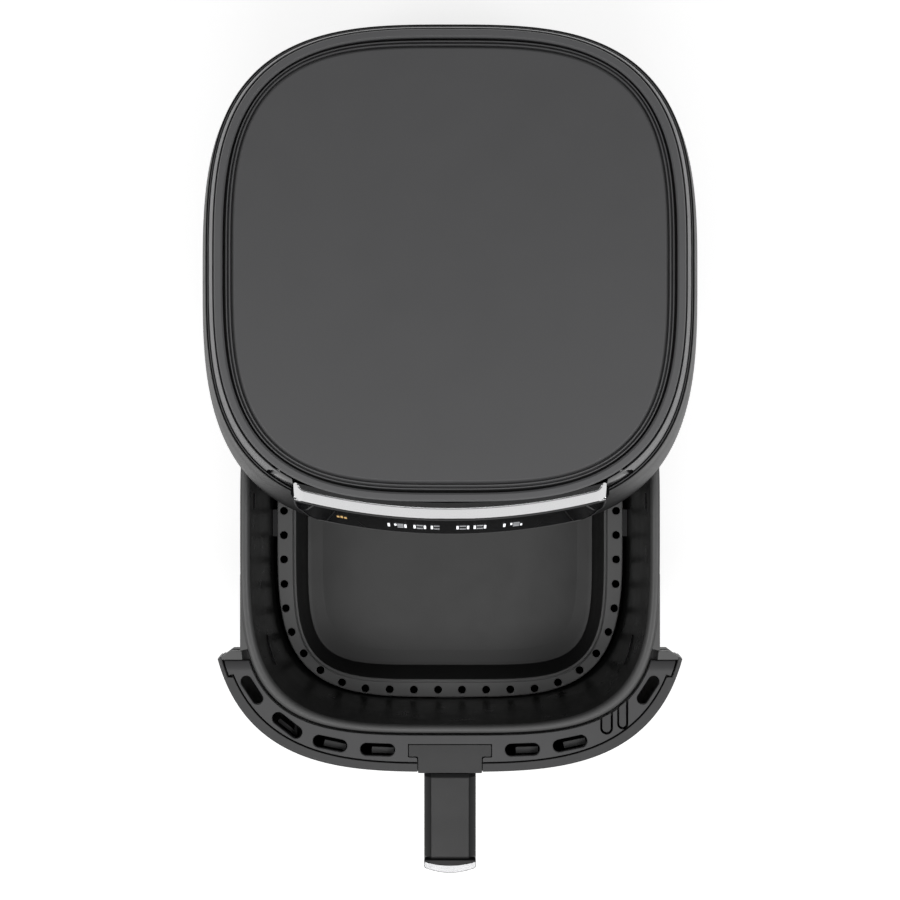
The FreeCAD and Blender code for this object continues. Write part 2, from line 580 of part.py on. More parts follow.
body = new_body("motor_can")
sk = new_sketch(body, "CanSection", "XZ_Plane")
mr, mt, bo, bt = D("motor_radius"), D("motor_top"), D("bearing_outer"), D("bearing_tall")
poly(sk, [(bo, mz), (mr, mz), (mr, mt), (bo, mt), (bo, mt - bt), (mr - 2, mt - bt), (mr - 2, mz + bt), (bo, mz + bt)])
rev = body.newObject("PartDesign::Revolution", "Can")
rev.Profile = sk
rev.ReferenceAxis = (origin_plane(body, "Z_Axis"), [""])
rev.Angle = 360.0
place(body, HY)
node(body, "motor_can")

body = new_body("stator_ring")
sk = new_sketch(body, "StatorRing", "XY_Plane", D("core_low") + 0.4)
circle(sk, 0, 0, mr - 2)
circle(sk, 0, 0, D("core_radius") + 1)
pad(body, sk, D("core_top") - D("core_low") - 0.8, name="Ring")
place(body, HY)
node(body, "stator_ring")

body = new_body("motor_bearings")
sk = new_sketch(body, "LowerRing", "XY_Plane", mz)
circle(sk, 0, 0, bo)
circle(sk, 0, 0, D("bearing_inner"))
pad(body, sk, bt, name="LowerBearing")
sk = new_sketch(body, "UpperRing", "XY_Plane", mt - bt)
circle(sk, 0, 0, bo)
circle(sk, 0, 0, D("bearing_inner"))
pad(body, sk, bt, name="UpperBearing")
place(body, HY)
node(body, "motor_bearings")

# rotor: shaft, core, two fans and a nut
shaft = doc.addObject("Part::Cylinder", "ShaftBar")
bind(shaft, "Radius", D("shaft_radius"))
bind(shaft, "Height", D("shaft_top") - D("shaft_low"))
place(shaft, HY, z=D("shaft_low"))
node(shaft, "motor_shaft")

body = new_body("rotor_core")
sk = new_sketch(body, "CoreRing", "XY_Plane", D("core_low"))
circle(sk, 0, 0, D("core_radius"))
circle(sk, 0, 0, D("shaft_radius"))
pad(body, sk, D("core_top") - D("core_low"), name="Core")
place(body, HY)
node(body, "rotor_core")

body = new_body("hot_fan")
sk = new_sketch(body, "FanDisc", "XY_Plane", D("hotfan_top") - D("hotfan_gauge"))
circle(sk, 0, 0, D("hotfan_radius"))
circle(sk, 0, 0, D("shaft_radius"))
pad(body, sk, D("hotfan_gauge"), name="Disc")
sk = new_sketch(body, "FanHub", "XY_Plane", D("hotfan_low"))
circle(sk, 0, 0, Q(9.0, "9"))
circle(sk, 0, 0, D("shaft_radius"))
pad(body, sk, D("hotfan_top") - D("hotfan_low"), name="Hub")
sk = new_sketch(body, "FanBlade", "XY_Plane", D("hotfan_low"))
poly(sk, [(Q(16.0, "16"), Q(1.0, "1")), (D("hotfan_radius") - 4, Q(12.0, "12")), (D("hotfan_radius") - 4.6, Q(13.2, "13.2")), (Q(15.6, "15.6"), Q(2.2, "2.2"))])
bl = pad(body, sk, D("hotfan_top") - D("hotfan_low") - 0.4, name="Blade")
doc.recompute()
polar(body, bl, 12)
place(body, HY)
node(body, "hot_fan")

body = new_body("cooling_fan")
sk = new_sketch(body, "CoolHub", "XY_Plane", D("coolfan_low"))
circle(sk, 0, 0, Q(10.0, "10"))
circle(sk, 0, 0, D("shaft_radius"))
pad(body, sk, D("coolfan_top") - D("coolfan_low"), name="Hub")
sk = new_sketch(body, "CoolBlade", "XY_Plane", D("coolfan_low"))
poly(sk, [(Q(8.0, "8"), Q(-3.0, "-3")), (D("coolfan_radius") - 4, Q(8.0, "8")), (D("coolfan_radius") - 5, Q(9.6, "9.6")), (Q(8.0, "8"), Q(-0.6, "-0.6"))])
bl = pad(body, sk, D("coolfan_top") - D("coolfan_low"), name="Blade")
doc.recompute()
polar(body, bl, 9)
place(body, HY)
node(body, "cooling_fan")

body = new_body("fan_nut")
sk = new_sketch(body, "HexNut", "XY_Plane", D("hotfan_low") - D("nut_tall"))
hr = D("nut_flats") / 2 * (2 / math.sqrt(3))
poly(sk, [(hr * math.cos(math.radians(60 * i + 30)), hr * math.sin(math.radians(60 * i + 30))) for i in range(6)])
circle(sk, 0, 0, D("shaft_radius"))
pad(body, sk, D("nut_tall"), name="Nut")
place(body, HY)
node(body, "fan_nut")

# power board on four posts, with its tall components
brd = block(-46, 46, 52, 104, 262, 263.6)
brd = brd.fuse([Part.makeCylinder(3.0, 18.0, V(x, y, 244.0)) for x in (-40, 40) for y in (58, 92)])
brd = brd.fuse([block(-40, -14, 62, 84, 263.6, 282), block(-6, 14, 60, 76, 263.6, 279), Part.makeCylinder(6.5, 22, V(26, 68, 263.6)),
                Part.makeCylinder(5, 16, V(26, 84, 263.6)), block(-8, 12, 84, 98, 263.6, 276)]).removeSplitter()
feature("power_board", brd, HY)

tc = Part.makeCylinder(8.0, 4.5, V(-62, -58, 244.0)).fuse(Part.makeCylinder(6.0, 9.0, V(-62, -58, 244.0)))
tc = tc.fuse([block(-70.5, -53.5, -59.5, -56.5, 244.0, 245.2)]).removeSplitter()
feature("thermal_cutout", tc, HY)

tp = Part.makeCylinder(2.0, 44.0, V(probe[0], probe[1], 206.0)).fuse(Part.makeCylinder(5.0, 2.5, V(probe[0], probe[1], 244.0)))
feature("temperature_probe", tp.removeSplitter(), HY)

# micro switch behind the bay's back wall, with its sprung plunger
swb = block(-10, 10, 137.0, 146.0, 152.0, 168.0)
swb = swb.cut(Part.makeCylinder(2.05, 8.0, V(0, 136.5, 160), V(0, 1, 0)))
swb = swb.fuse([block(-7, 7, 133.6, 137.0, 166.0, 168.0)]).removeSplitter()
feature("switch_body", swb.common(block(-20, 20, 133.7, 147, 150, 170)), HY)
plg = Part.makeCylinder(S("plunger_radius"), 13.6, V(0, 127.9, 160), V(0, 1, 0))
plg = plg.fuse(Part.makeSphere(S("plunger_radius"), V(0, 127.9, 160))).removeSplitter()
plg = plg.common(block(-5, 5, 127.2, 150, 150, 170))
feature("switch_plunger", plg, HY)

# rear vent cover and the mains lead inlet
pushed = tower([(z, a + 1.3) for z, a in PROFILE], NQ)
vent = pushed.common(block(-52, 52, 100, 200, 206, 260)).cut(tower([(z, a + 0.02) for z, a in PROFILE], NQ))
vent = vent.cut(Part.makeCompound([block(i * 7.0 - 1.6, i * 7.0 + 1.6, 100, 200, 212, 254) for i in range(-6, 7)]))
feature("rear_vent_cover", vent, HY)
gl_flange = Part.makeCylinder(9.0, 8.0, V(70, 139.6, 36), V(0, 1, 0)).cut(outer)
gl = Part.makeCylinder(7.0, 16.4, V(70, 131.0, 36), V(0, 1, 0)).fuse(gl_flange)
gl = gl.cut(Part.makeCylinder(3.6, 40.0, V(70, 120, 36), V(0, 1, 0))).removeSplitter()
feature("cord_gland", gl, HY)

# ------------------------------------------------------------------ drawer: pot
rnq = S("rim_square")
pot_out = tower([(50.5, 108.0, 107.0, 3.4), (52.0, 112.0, 111.0, 3.45), (57.0, 116.2, 115.2, 3.5), (66.0, 119.3, 118.0, 3.6), (90.0, 121.7, 119.9, 3.7),
                 (135.0, 123.9, 121.6, 3.8), (178.0, 125.8, 122.9, 3.8), (184.0, 126.1, 123.1, 3.8)], rnq)
pw = S("pot_wall")
pot_in = tower([(52.0, 106.8, 105.8, 3.4), (53.5, 110.6, 109.6, 3.45), (58.3, 114.8, 113.7, 3.5), (67.0, 117.8, 116.5, 3.6), (90.0, 120.2, 118.4, 3.7),
                (135.0, 122.4, 120.1, 3.8), (178.0, 124.3, 121.4, 3.8), (187.0, 124.7, 121.7, 3.8)], rnq)
rim = tower([(S("rim_under"), 130.3, 126.4), (184.6, 130.5, 126.6), (185.6, 130.1, 126.2), (186.2, 129.0, 125.1)], rnq, True)
rim = rim.cut(tower([(180.0, 128.9, 125.0), (184.4, 128.9, 125.0)], rnq, True))
rim = rim.fuse(prism(129.0, 125.2, rnq, 183.4, 184.8))
pot = pot_out.fuse(rim).cut(pot_in)
pot = pot.cut(tower([(184.4, 124.6, 121.6), (185.5, 124.9, 121.9), (188, 127.5, 124.5)], rnq, True)).removeSplitter()
feature("pot", pot, DY)

# ------------------------------------------------------------------ drawer: front
pn = S("pull_square")
pull_prof = [(z, a - 1.1) for z, a in [(22.5, 146.9), (40.0, 148.6), (80.0, 151.3), (120.0, 152.7), (155.0, 153.0), (179.0, 152.3), (185.0, 152.0)]]
pull_out = tower(pull_prof, pn)
pull_in = tower([(22.0, 142.8), (40.0, 144.5), (80.0, 147.2), (120.0, 148.6), (155.0, 148.9), (180.0, 148.3)], pn)
band_cut = prism(S("band_half"), S("band_half"), pn, 178.0, 190.0)
pull_clip = prism_z([(-190, -S("pull_tip")), (-144.5, -S("pull_tip")), (-136.4, -S("pull_end")), (136.4, -S("pull_end")),
                     (144.5, -S("pull_tip")), (190, -S("pull_tip")), (190, -200), (-190, -200)], 10, 200)
tee = [(-S("tee_half"), -S("tee_back")), (S("tee_half"), -S("tee_back")), (S("tee_half"), -S("tee_mid")), (S("tee_stem"), -S("tee_mid")),
       (S("tee_stem"), -S("tee_front")), (-S("tee_stem"), -S("tee_front")), (-S("tee_stem"), -S("tee_mid")), (-S("tee_half"), -S("tee_mid"))]


def grow(pts, g):
    return [(x + (g if x > 0 else -g), y + (g if y > -138 else -g)) for x, y in pts]


tee_gap = prism_z([(-S("tee_half") - .4, -S("tee_back") + .4), (S("tee_half") + .4, -S("tee_back") + .4), (S("tee_half") + .4, -S("tee_mid") - .4),
                   (S("tee_stem") + .4, -S("tee_mid") - .4), (S("tee_stem") + .4, -170), (-S("tee_stem") - .4, -170),
                   (-S("tee_stem") - .4, -S("tee_mid") - .4), (-S("tee_half") - .4, -S("tee_mid") - .4)], 180.4, 190)
shell_f = pull_out.cut(pull_in).cut(band_cut)
shell_f = shell_f.common(pull_clip).cut(tee_gap).cut(block(-200, 200, -S("pull_tip"), 0, 5, 165))  # square ends below the corner tips
screw_holes = [Part.makeCylinder(2.2, 30, V(x, -160, 171), V(0, 1, 0)) for x in (-9, 9)]
shell_f = shell_f.cut(Part.makeCompound(screw_holes))
feature("front_shell", shell_f, DY)

# top plate between the pot rim and the shell's band, with its air slots
gx, gy = S("plate_gap_x"), S("plate_gap_y")
plate = prism(S("band_half") - 0.25, S("band_half") - 0.25, pn, 181.8, 185.0).cut(prism(gx, gy, rnq, 180, 190))
plate = plate.common(pull_clip)
ramp = prism_y([(-160, 186), (160, 186), (160, 190), (-160, 190)], -90, -60)
step = Part.Face(Part.makePolygon([V(-160, -74, 183.0), V(-160, -81.2, 183.0), V(-160, -88.1, 185.01), V(-160, -74, 186), V(-160, -74, 183.0)])).extrude(V(320, 0, 0))
plate = plate.cut(step)


def slot(x, f, deg, length, wide, z0, z1):
    l2 = length / 2 - wide / 2
    s_ = block(-l2, l2, -wide / 2, wide / 2, z0, z1).fuse([Part.makeCylinder(wide / 2, z1 - z0, V(l2, 0, z0)), Part.makeCylinder(wide / 2, z1 - z0, V(-l2, 0, z0))])
    s_.rotate(V(0, 0, 0), V(0, 0, 1), deg)
    s_.translate(V(x, -f, 0))
    return s_


SL, SW = S("slot_long"), S("slot_wide")
SLOTS = [(-123.1, 99.9, -57), (-101.2, 121.8, -38), (-74.6, 133.1, -12), (-45.0, 136.9, -2), (45.0, 136.9, 2), (74.6, 133.1, 12), (123.1, 99.9, 57)]
plate = plate.cut(Part.makeCompound([slot(x, f, d, SL, SW, 170, 190) for x, f, d in SLOTS]))
TABS = [(97.7, 121.0), (107.4, 115.3)]


def tab_shape(x, f, wide, z0, z1, back):
    return block(x - wide / 2, x + wide / 2, -f - 4.0, -f + back, z0, z1).fuse(Part.makeCylinder(wide / 2, z1 - z0, V(x, -f - 4.0, z0))).removeSplitter()


for x, f in TABS:
    plate = plate.cut(tab_shape(x, f, 7.2, 183.0, 190, 16.0))
plate = plate.cut(tee_gap)
feature("front_top_plate", plate, DY)

tabs = []
for x, f in TABS:
    t_ = tab_shape(x, f, 5.4, 183.0, 184.3, 12.0).cut(prism(gx + 0.3, gy + 0.3, rnq, 180, 190))
    tabs.append(t_.Solids[0])
feature("latch_tabs", Part.makeCompound(tabs), DY)

# inner moulding: wall behind the pot, end walls and floor of the drawer front
m_out = tower([(22.9, 142.6), (40.0, 144.2), (80.0, 146.9), (120.0, 148.3), (155.0, 148.6), (178.4, 148.0)], pn)
m_clip = prism_z([(-190, -S("pull_tip") - .2), (-141.0, -S("pull_tip") + 2.0), (-136.4, -S("pull_end") - .1), (136.4, -S("pull_end") - .1),
                  (141.0, -S("pull_tip") + 2.0), (190, -S("pull_tip") - .2), (190, -200), (-190, -200)], 10, 200)
m_out = m_out.common(m_clip).cut(prism(gx, gy, rnq, 10, 200))
m_in = tower([(25.4, 143.4), (40.0, 144.9), (80.0, 147.6), (120.0, 149.0), (155.0, 149.3), (179.4, 148.7)], pn)
m_in = m_in.common(prism_z([(-190, -86.0), (190, -86.0), (190, -200), (-190, -200)], 25.4, 200)).cut(prism(gx + 2.4, gy + 2.4, rnq, 10, 200))
mould = m_out.cut(m_in).common(block(-200, 200, -200, 0, 22.9, 178.3))
ribs = []
for k in (-96, -60, -30, 30, 60, 96):
    ribs.append(block(k - 1.0, k + 1.0, -150, -100, 60, 178.0))
ribset = Part.makeCompound(ribs).common(m_in).common(m_out)
mould = mould.fuse(ribset.Solids).removeSplitter()
mould = mould.cut(Part.makeCompound(screw_holes))
feature("front_inner_moulding", mould, DY)

# ------------------------------------------------------------------ handle
body = new_body("handle_mount")
sk = new_sketch(body, "TeePlan", "XY_Plane", D("pull_top") - 4.2)
th_, ts_ = D("tee_half"), D("tee_stem")
poly(sk, [(-th_, -D("tee_back")), (th_, -D("tee_back")), (th_, -D("tee_mid")), (ts_, -D("tee_mid")), (ts_, -D("tee_front")),
          (-ts_, -D("tee_front")), (-ts_, -D("tee_mid")), (-th_, -D("tee_mid"))])
pad(body, sk, Q(5.4, "5.4"), name="Tee")
place(body, DY)
node(body, "handle_mount")

body = new_body("handle_body")
sk = new_sketch(body, "HandleSide", "YZ_Plane")
hf, ht, hl, au, gb = D("handle_front"), D("handle_top"), D("handle_low"), D("arm_under"), D("grip_back")
back = D("tee_front") + 0.2
poly(sk, [(-back, ht - 1.2), (-back, au - 3.0), (-(gb - 8), au), (-(gb - 1.5), au - 6), (-gb, au - 16), (-gb, hl + 8), (-(gb + 2), hl + 2), (-(gb + 6), hl),
          (-(hf - 1), hl), (-hf, hl + 2), (-hf, ht - 1.5), (-(hf - 1.5), ht), (-(back + 1.5), ht)])
pad(body, sk, D("handle_half") * 2, mid=True, name="Handle")
doc.recompute()
sk = new_sketch(body, "BevelCut", "XZ_Plane")
hh, hq = D("handle_half"), D("handle_flat")
for sgn in (1.0, -1.0):
    poly(sk, [(hq * sgn, ht + 0.01), ((hh + 1) * sgn, ht + 0.01), ((hh + 1) * sgn, ht - 5.2), (hh * sgn, ht - 4.6)])
vb = body.Shape.Volume
pocket(body, sk, 900.0, mid=True, name="TopBevel")
doc.recompute()
assert body.Shape.Volume < vb - 10, "handle bevel was not cut"
place(body, DY)
node(body, "handle_body")

# bright strip down the outside of the grip, bowed outwards
sf, sb = S("strip_front"), S("strip_bulge")
hw = S("handle_half")
R_ = (hw * hw + (sb - sf) ** 2) / (2 * (sb - sf))
cap = Part.Face(Part.Wire([Part.makeLine(V(-hw, -S("handle_front") - .05, 70.0), V(-hw, -sf, 70.0)),
                           Part.Arc(V(-hw, -sf, 70.0), V(0, -sb, 70.0), V(hw, -sf, 70.0)).toShape(),
                           Part.makeLine(V(hw, -sf, 70.0), V(hw, -S("handle_front") - .05, 70.0)),
                           Part.makeLine(V(hw, -S("handle_front") - .05, 70.0), V(-hw, -S("handle_front") - .05, 70.0))])).extrude(V(0, 0, 115.6))
feature("handle_strip", cap, DY)

# soft pad on the inside of the grip
padg = block(-11.5, 11.5, -(S("grip_back") - 0.05), -(S("grip_back") - 1.6), 84.0, 140.0)
feature("grip_pad", padg, DY)

scr = []
for x in (-9, 9):
    scr.append(Part.makeCylinder(2.0, 16.0, V(x, -152.0, 171), V(0, 1, 0)).fuse(Part.makeCylinder(4.0, 2.4, V(x, -136.0, 171), V(0, 1, 0))).removeSplitter())
feature("handle_screws", Part.makeCompound(scr), DY)

# ------------------------------------------------------------------ crisper plate
tn = S("tray_square")
tx, ty, tt, tg = S("tray_x"), S("tray_y"), S("tray_top"), S("tray_gauge")
tl, tf, tfh = S("tray_lip"), S("tray_floor"), S("tray_floor_half")
ring = prism(tx, ty, tn, tt - tg, tt).cut(prism(tl - 1.0, tl - 1.0, tn, 80, 90))
skirt = tower([(82.5, tx, ty), (tt, tx, ty)], tn, True).cut(tower([(82, tx - tg, ty - tg), (90, tx - tg, ty - tg)], tn, True))
lip = prism(tl + 1.0, tl + 1.0, tn, tt, tt + 1.3).cut(prism(tl - 1.0, tl - 1.0, tn, 80, 90))
cup_out = tower([(tf - tg, tfh - 2.0, tfh - 2.0, 3.4), (tf + 2.0, tfh + 0.9, tfh + 0.9, 3.5), (tf + 8.0, tfh + 3.2, tfh + 3.2, 3.6), (tt + 0.2, tl, tl)], tn, True)
cup_in = tower([(tf, tfh - 3.2, tfh - 3.2, 3.4), (tf + 3.0, tfh - 0.1, tfh - 0.1, 3.5), (tf + 8.6, tfh + 2.0, tfh + 2.0, 3.6), (tt + 1.4, tl - 1.2, tl - 1.2)], tn, True)
tray = ring.fuse(skirt).fuse(lip).fuse(cup_out).cut(cup_in)
QUAD = [(112.2, 8.2), (112.2, 24.6), (111.9, 41.2), (111.0, 57.6), (107.1, 73.6), (98.9, 88.1), (87.6, 99.4), (73.0, 107.7), (57.2, 111.8),
        (40.8, 112.4), (24.4, 112.6), (8.1, 112.6)]
punch = []
for x, y in QUAD:
    for sx in (-1, 1):
        for sy in (-1, 1):
            punch.append(Part.makeCylinder(S("tray_hole"), 10, V(sx * x, sy * y, 80)))
tray = tray.cut(Part.makeCompound(punch)).removeSplitter()
feature("crisper_plate", tray, DY)

body = new_body("plate_feet")
sk = new_sketch(body, "FeetPlan", "XY_Plane", D("pot_floor") + 0.3)
for sx in (-1.0, 1.0):
    for sy in (-1.0, 1.0):
        circle(sk, Q(70 * sx, repr(70 * sx)), Q(70 * sy, repr(70 * sy)), D("post_radius"))
pad(body, sk, D("tray_floor") - D("tray_gauge") - D("pot_floor") - 0.3, name="Feet")
place(body, DY)
node(body, "plate_feet")

bump = []
for x0, x1, y0, y1 in ((-9, 9, 116.85, 118.0), (-9, 9, -118.0, -116.85), (116.45, 119.6, -9, 9), (-119.6, -116.45, -9, 9)):
    bump.append(block(x0, x1, y0, y1, 83.0, 86.6))
feature("plate_bumpers", Part.makeCompound(bump), DY)

# ------------------------------------------------------------------ checks and export
doc.recompute()
bad = []
for o in doc.Objects:
    if any(s_ in ("Invalid", "Error") for s_ in o.State):
        bad.append("%s state %s" % (o.Label, o.State))
for label, o in NODES:
    if o.Shape.isNull():
        bad.append(label + " is null")
    elif not o.Shape.isValid():
        bad.append(label + " is not valid")
if bad:
    raise RuntimeError("; ".join(bad))
os.makedirs("parts", exist_ok=True)
total = 0
for label, o in NODES:
    o.Shape.exportStep("parts/%s.step" % label)
    bb = o.Shape.BoundBox
    print("%-22s solids %2d faces %4d vol %10.1f  x %7.1f %7.1f  y %7.1f %7.1f  z %6.1f %6.1f" % (
        label, len(o.Shape.Solids), len(o.Shape.Faces), o.Shape.Volume, bb.XMin, bb.XMax, bb.YMin, bb.YMax, bb.ZMin, bb.ZMax))
    total += 1
print("nodes", total)
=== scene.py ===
import json
import math

import bpy
import bmesh
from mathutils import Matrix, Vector


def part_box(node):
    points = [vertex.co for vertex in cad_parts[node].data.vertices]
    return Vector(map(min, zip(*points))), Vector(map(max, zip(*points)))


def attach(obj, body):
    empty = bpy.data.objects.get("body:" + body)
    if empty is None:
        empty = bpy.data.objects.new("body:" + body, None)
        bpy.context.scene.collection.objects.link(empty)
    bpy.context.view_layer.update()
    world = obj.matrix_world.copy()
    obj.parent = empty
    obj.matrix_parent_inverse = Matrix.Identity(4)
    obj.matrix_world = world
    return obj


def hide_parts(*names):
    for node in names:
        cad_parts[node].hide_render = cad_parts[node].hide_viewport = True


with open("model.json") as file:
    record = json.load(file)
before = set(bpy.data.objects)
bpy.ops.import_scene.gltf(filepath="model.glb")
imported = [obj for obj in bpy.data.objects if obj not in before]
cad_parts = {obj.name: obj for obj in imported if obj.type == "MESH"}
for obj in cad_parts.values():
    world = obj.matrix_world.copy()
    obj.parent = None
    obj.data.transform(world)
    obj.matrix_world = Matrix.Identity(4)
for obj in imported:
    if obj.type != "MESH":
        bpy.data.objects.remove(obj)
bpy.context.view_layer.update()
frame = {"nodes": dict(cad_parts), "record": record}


def mid_y(node):
    lo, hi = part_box(node)
    return (lo[1] + hi[1]) / 2 * 1000.0


HY = mid_y("lid_panel")   # housing centre line, mm
DY = mid_y("pot")         # drawer centre line, mm
PI = math.pi


# ------------------------------------------------------------------ materials
def new_mat(name):
    m = bpy.data.materials.new(name)
    m.use_nodes = True
    nt = m.node_tree
    nt.nodes.clear()
    out = nt.nodes.new("ShaderNodeOutputMaterial")
    bsdf = nt.nodes.new("ShaderNodeBsdfPrincipled")
    nt.links.new(bsdf.outputs[0], out.inputs[0])
    return m, nt, bsdf


def coords(nt, scale):
    tc = nt.nodes.new("ShaderNodeTexCoord")
    mp = nt.nodes.new("ShaderNodeMapping")
    mp.inputs["Scale"].default_value = scale if isinstance(scale, tuple) else (scale, scale, scale)
    nt.links.new(tc.outputs["Object"], mp.inputs["Vector"])
    return mp.outputs["Vector"]


def noise(nt, vec, scale, detail=3.0, rough=0.5):
    n = nt.nodes.new("ShaderNodeTexNoise")
    n.inputs["Scale"].default_value = scale
    n.inputs["Detail"].default_value = detail
    n.inputs["Roughness"].default_value = rough
    nt.links.new(vec, n.inputs["Vector"])
    return n.outputs["Fac"]


def ramp(nt, fac, stops):
    r = nt.nodes.new("ShaderNodeValToRGB")
    cr = r.color_ramp
    while len(cr.elements) < len(stops):
        cr.elements.new(0.5)
    for e, (p, c) in zip(cr.elements, stops):
        e.position = p
        e.color = (c[0], c[1], c[2], 1.0) if isinstance(c, (tuple, list)) else (c, c, c, 1.0)
    nt.links.new(fac, r.inputs["Fac"])
    return r.outputs["Color"]


def map_range(nt, fac, lo, hi, a=0.3, b=0.7):
    m = nt.nodes.new("ShaderNodeMapRange")
    m.inputs["From Min"].default_value = a
    m.inputs["From Max"].default_value = b
    m.inputs["To Min"].default_value = lo
    m.inputs["To Max"].default_value = hi
    nt.links.new(fac, m.inputs["Value"])
    return m.outputs["Result"]


def bump(nt, height, strength, distance, after=None):
    b = nt.nodes.new("ShaderNodeBump")
    b.inputs["Strength"].default_value = strength
    b.inputs["Distance"].default_value = distance
    nt.links.new(height, b.inputs["Height"])
    if after is not None:
        nt.links.new(after, b.inputs["Normal"])
    return b.outputs["Normal"]


def moulded(name, base, rough=0.45, grain=0.12, grain_scale=1500.0, tint=0.05, spec=0.5, coat=0.0, coat_rough=0.1, tone=(1.0, 1.0, 1.03)):
    """Moulded plastic: fine spark-eroded grain, faint tone drift and a little scatter in gloss."""
    m, nt, b = new_mat(name)
    vec = coords(nt, 1.0)
    drift = noise(nt, vec, 9.0, 3.0)
    speck = noise(nt, vec, grain_scale, 2.0, 0.6)
    both = nt.nodes.new("ShaderNodeMix")
    both.data_type = "RGBA"
    both.blend_type = "MULTIPLY"
    both.inputs["Factor"].default_value = 1.0
    c1 = ramp(nt, drift, [(0.25, tuple(base * (1 - tint) * t for t in tone)), (0.75, tuple(base * (1 + tint) * t for t in tone))])
    c2 = ramp(nt, speck, [(0.3, 0.94), (0.7, 1.0)])
    nt.links.new(c1, both.inputs["A"])
    nt.links.new(c2, both.inputs["B"])
    nt.links.new(both.outputs["Result"], b.inputs["Base Color"])
    smear = noise(nt, coords(nt, (1.0, 1.0, 1.0)), 38.0, 4.0, 0.6)
    nt.links.new(map_range(nt, smear, rough - 0.035, rough + 0.035), b.inputs["Roughness"])
    nt.links.new(bump(nt, speck, grain, 0.00012), b.inputs["Normal"])
    b.inputs["Specular IOR Level"].default_value = spec
    if coat:
        b.inputs["Coat Weight"].default_value = coat
        b.inputs["Coat Roughness"].default_value = coat_rough
    return m


def glossy_black(name, base=0.006, rough=0.07, dust=0.02, spec=0.5):
    m, nt, b = new_mat(name)
    vec = coords(nt, 1.0)
    f = noise(nt, vec, 60.0, 5.0, 0.65)
    nt.links.new(ramp(nt, f, [(0.3, (base, base, base * 1.1)), (0.8, (base * 1.6, base * 1.6, base * 1.75))]), b.inputs["Base Color"])
    g = noise(nt, vec, 14.0, 6.0, 0.7)
    nt.links.new(map_range(nt, g, rough, rough + dust * 3), b.inputs["Roughness"])
    nt.links.new(bump(nt, noise(nt, vec, 26.0, 2.0), 0.03, 0.0004), b.inputs["Normal"])
    b.inputs["Specular IOR Level"].default_value = spec
    return m


def metal(name, base, rough, brushed=None, tint=0.04, bump_s=0.06):
    """Metal; brushed gives the stretch of the brush marks along each axis."""
    m, nt, b = new_mat(name)
    vec = coords(nt, brushed or (1.0, 1.0, 1.0))
    f = noise(nt, vec, 900.0 if brushed else 40.0, 3.0, 0.6)
    lo = tuple(c * (1 - tint) for c in base)
    hi = tuple(min(1.0, c * (1 + tint)) for c in base)
    nt.links.new(ramp(nt, f, [(0.25, lo), (0.75, hi)]), b.inputs["Base Color"])
    nt.links.new(map_range(nt, f, rough * 0.8, rough * 1.25), b.inputs["Roughness"])
    nt.links.new(bump(nt, f, bump_s, 0.0001), b.inputs["Normal"])
    b.inputs["Metallic"].default_value = 1.0
    return m


def coated(name, base, rough, peel=0.10, peel_scale=420.0, spec=0.5):
    """Non-stick coated steel: satin film with faint orange peel."""
    m, nt, b = new_mat(name)
    vec = coords(nt, 1.0)
    f = noise(nt, vec, 22.0, 4.0, 0.55)
    nt.links.new(ramp(nt, f, [(0.25, base * 0.96), (0.75, base * 1.04)]), b.inputs["Base Color"])
    p = noise(nt, vec, peel_scale, 2.0, 0.5)
    nt.links.new(map_range(nt, noise(nt, vec, 55.0, 5.0, 0.6), rough - 0.04, rough + 0.05), b.inputs["Roughness"])
    nt.links.new(bump(nt, p, peel, 0.00025), b.inputs["Normal"])
    b.inputs["Specular IOR Level"].default_value = spec
    return m


def lit(name, color, strength, base=0.6):
    m, nt, b = new_mat(name)
    vec = coords(nt, 1.0)
    f = noise(nt, vec, 700.0, 2.0)
    col = ramp(nt, f, [(0.2, tuple(c * 0.9 for c in color)), (0.8, color)])
    nt.links.new(col, b.inputs["Base Color"])
    nt.links.new(col, b.inputs["Emission Color"])
    b.inputs["Emission Strength"].default_value = strength
    b.inputs["Roughness"].default_value = 0.3
    return m


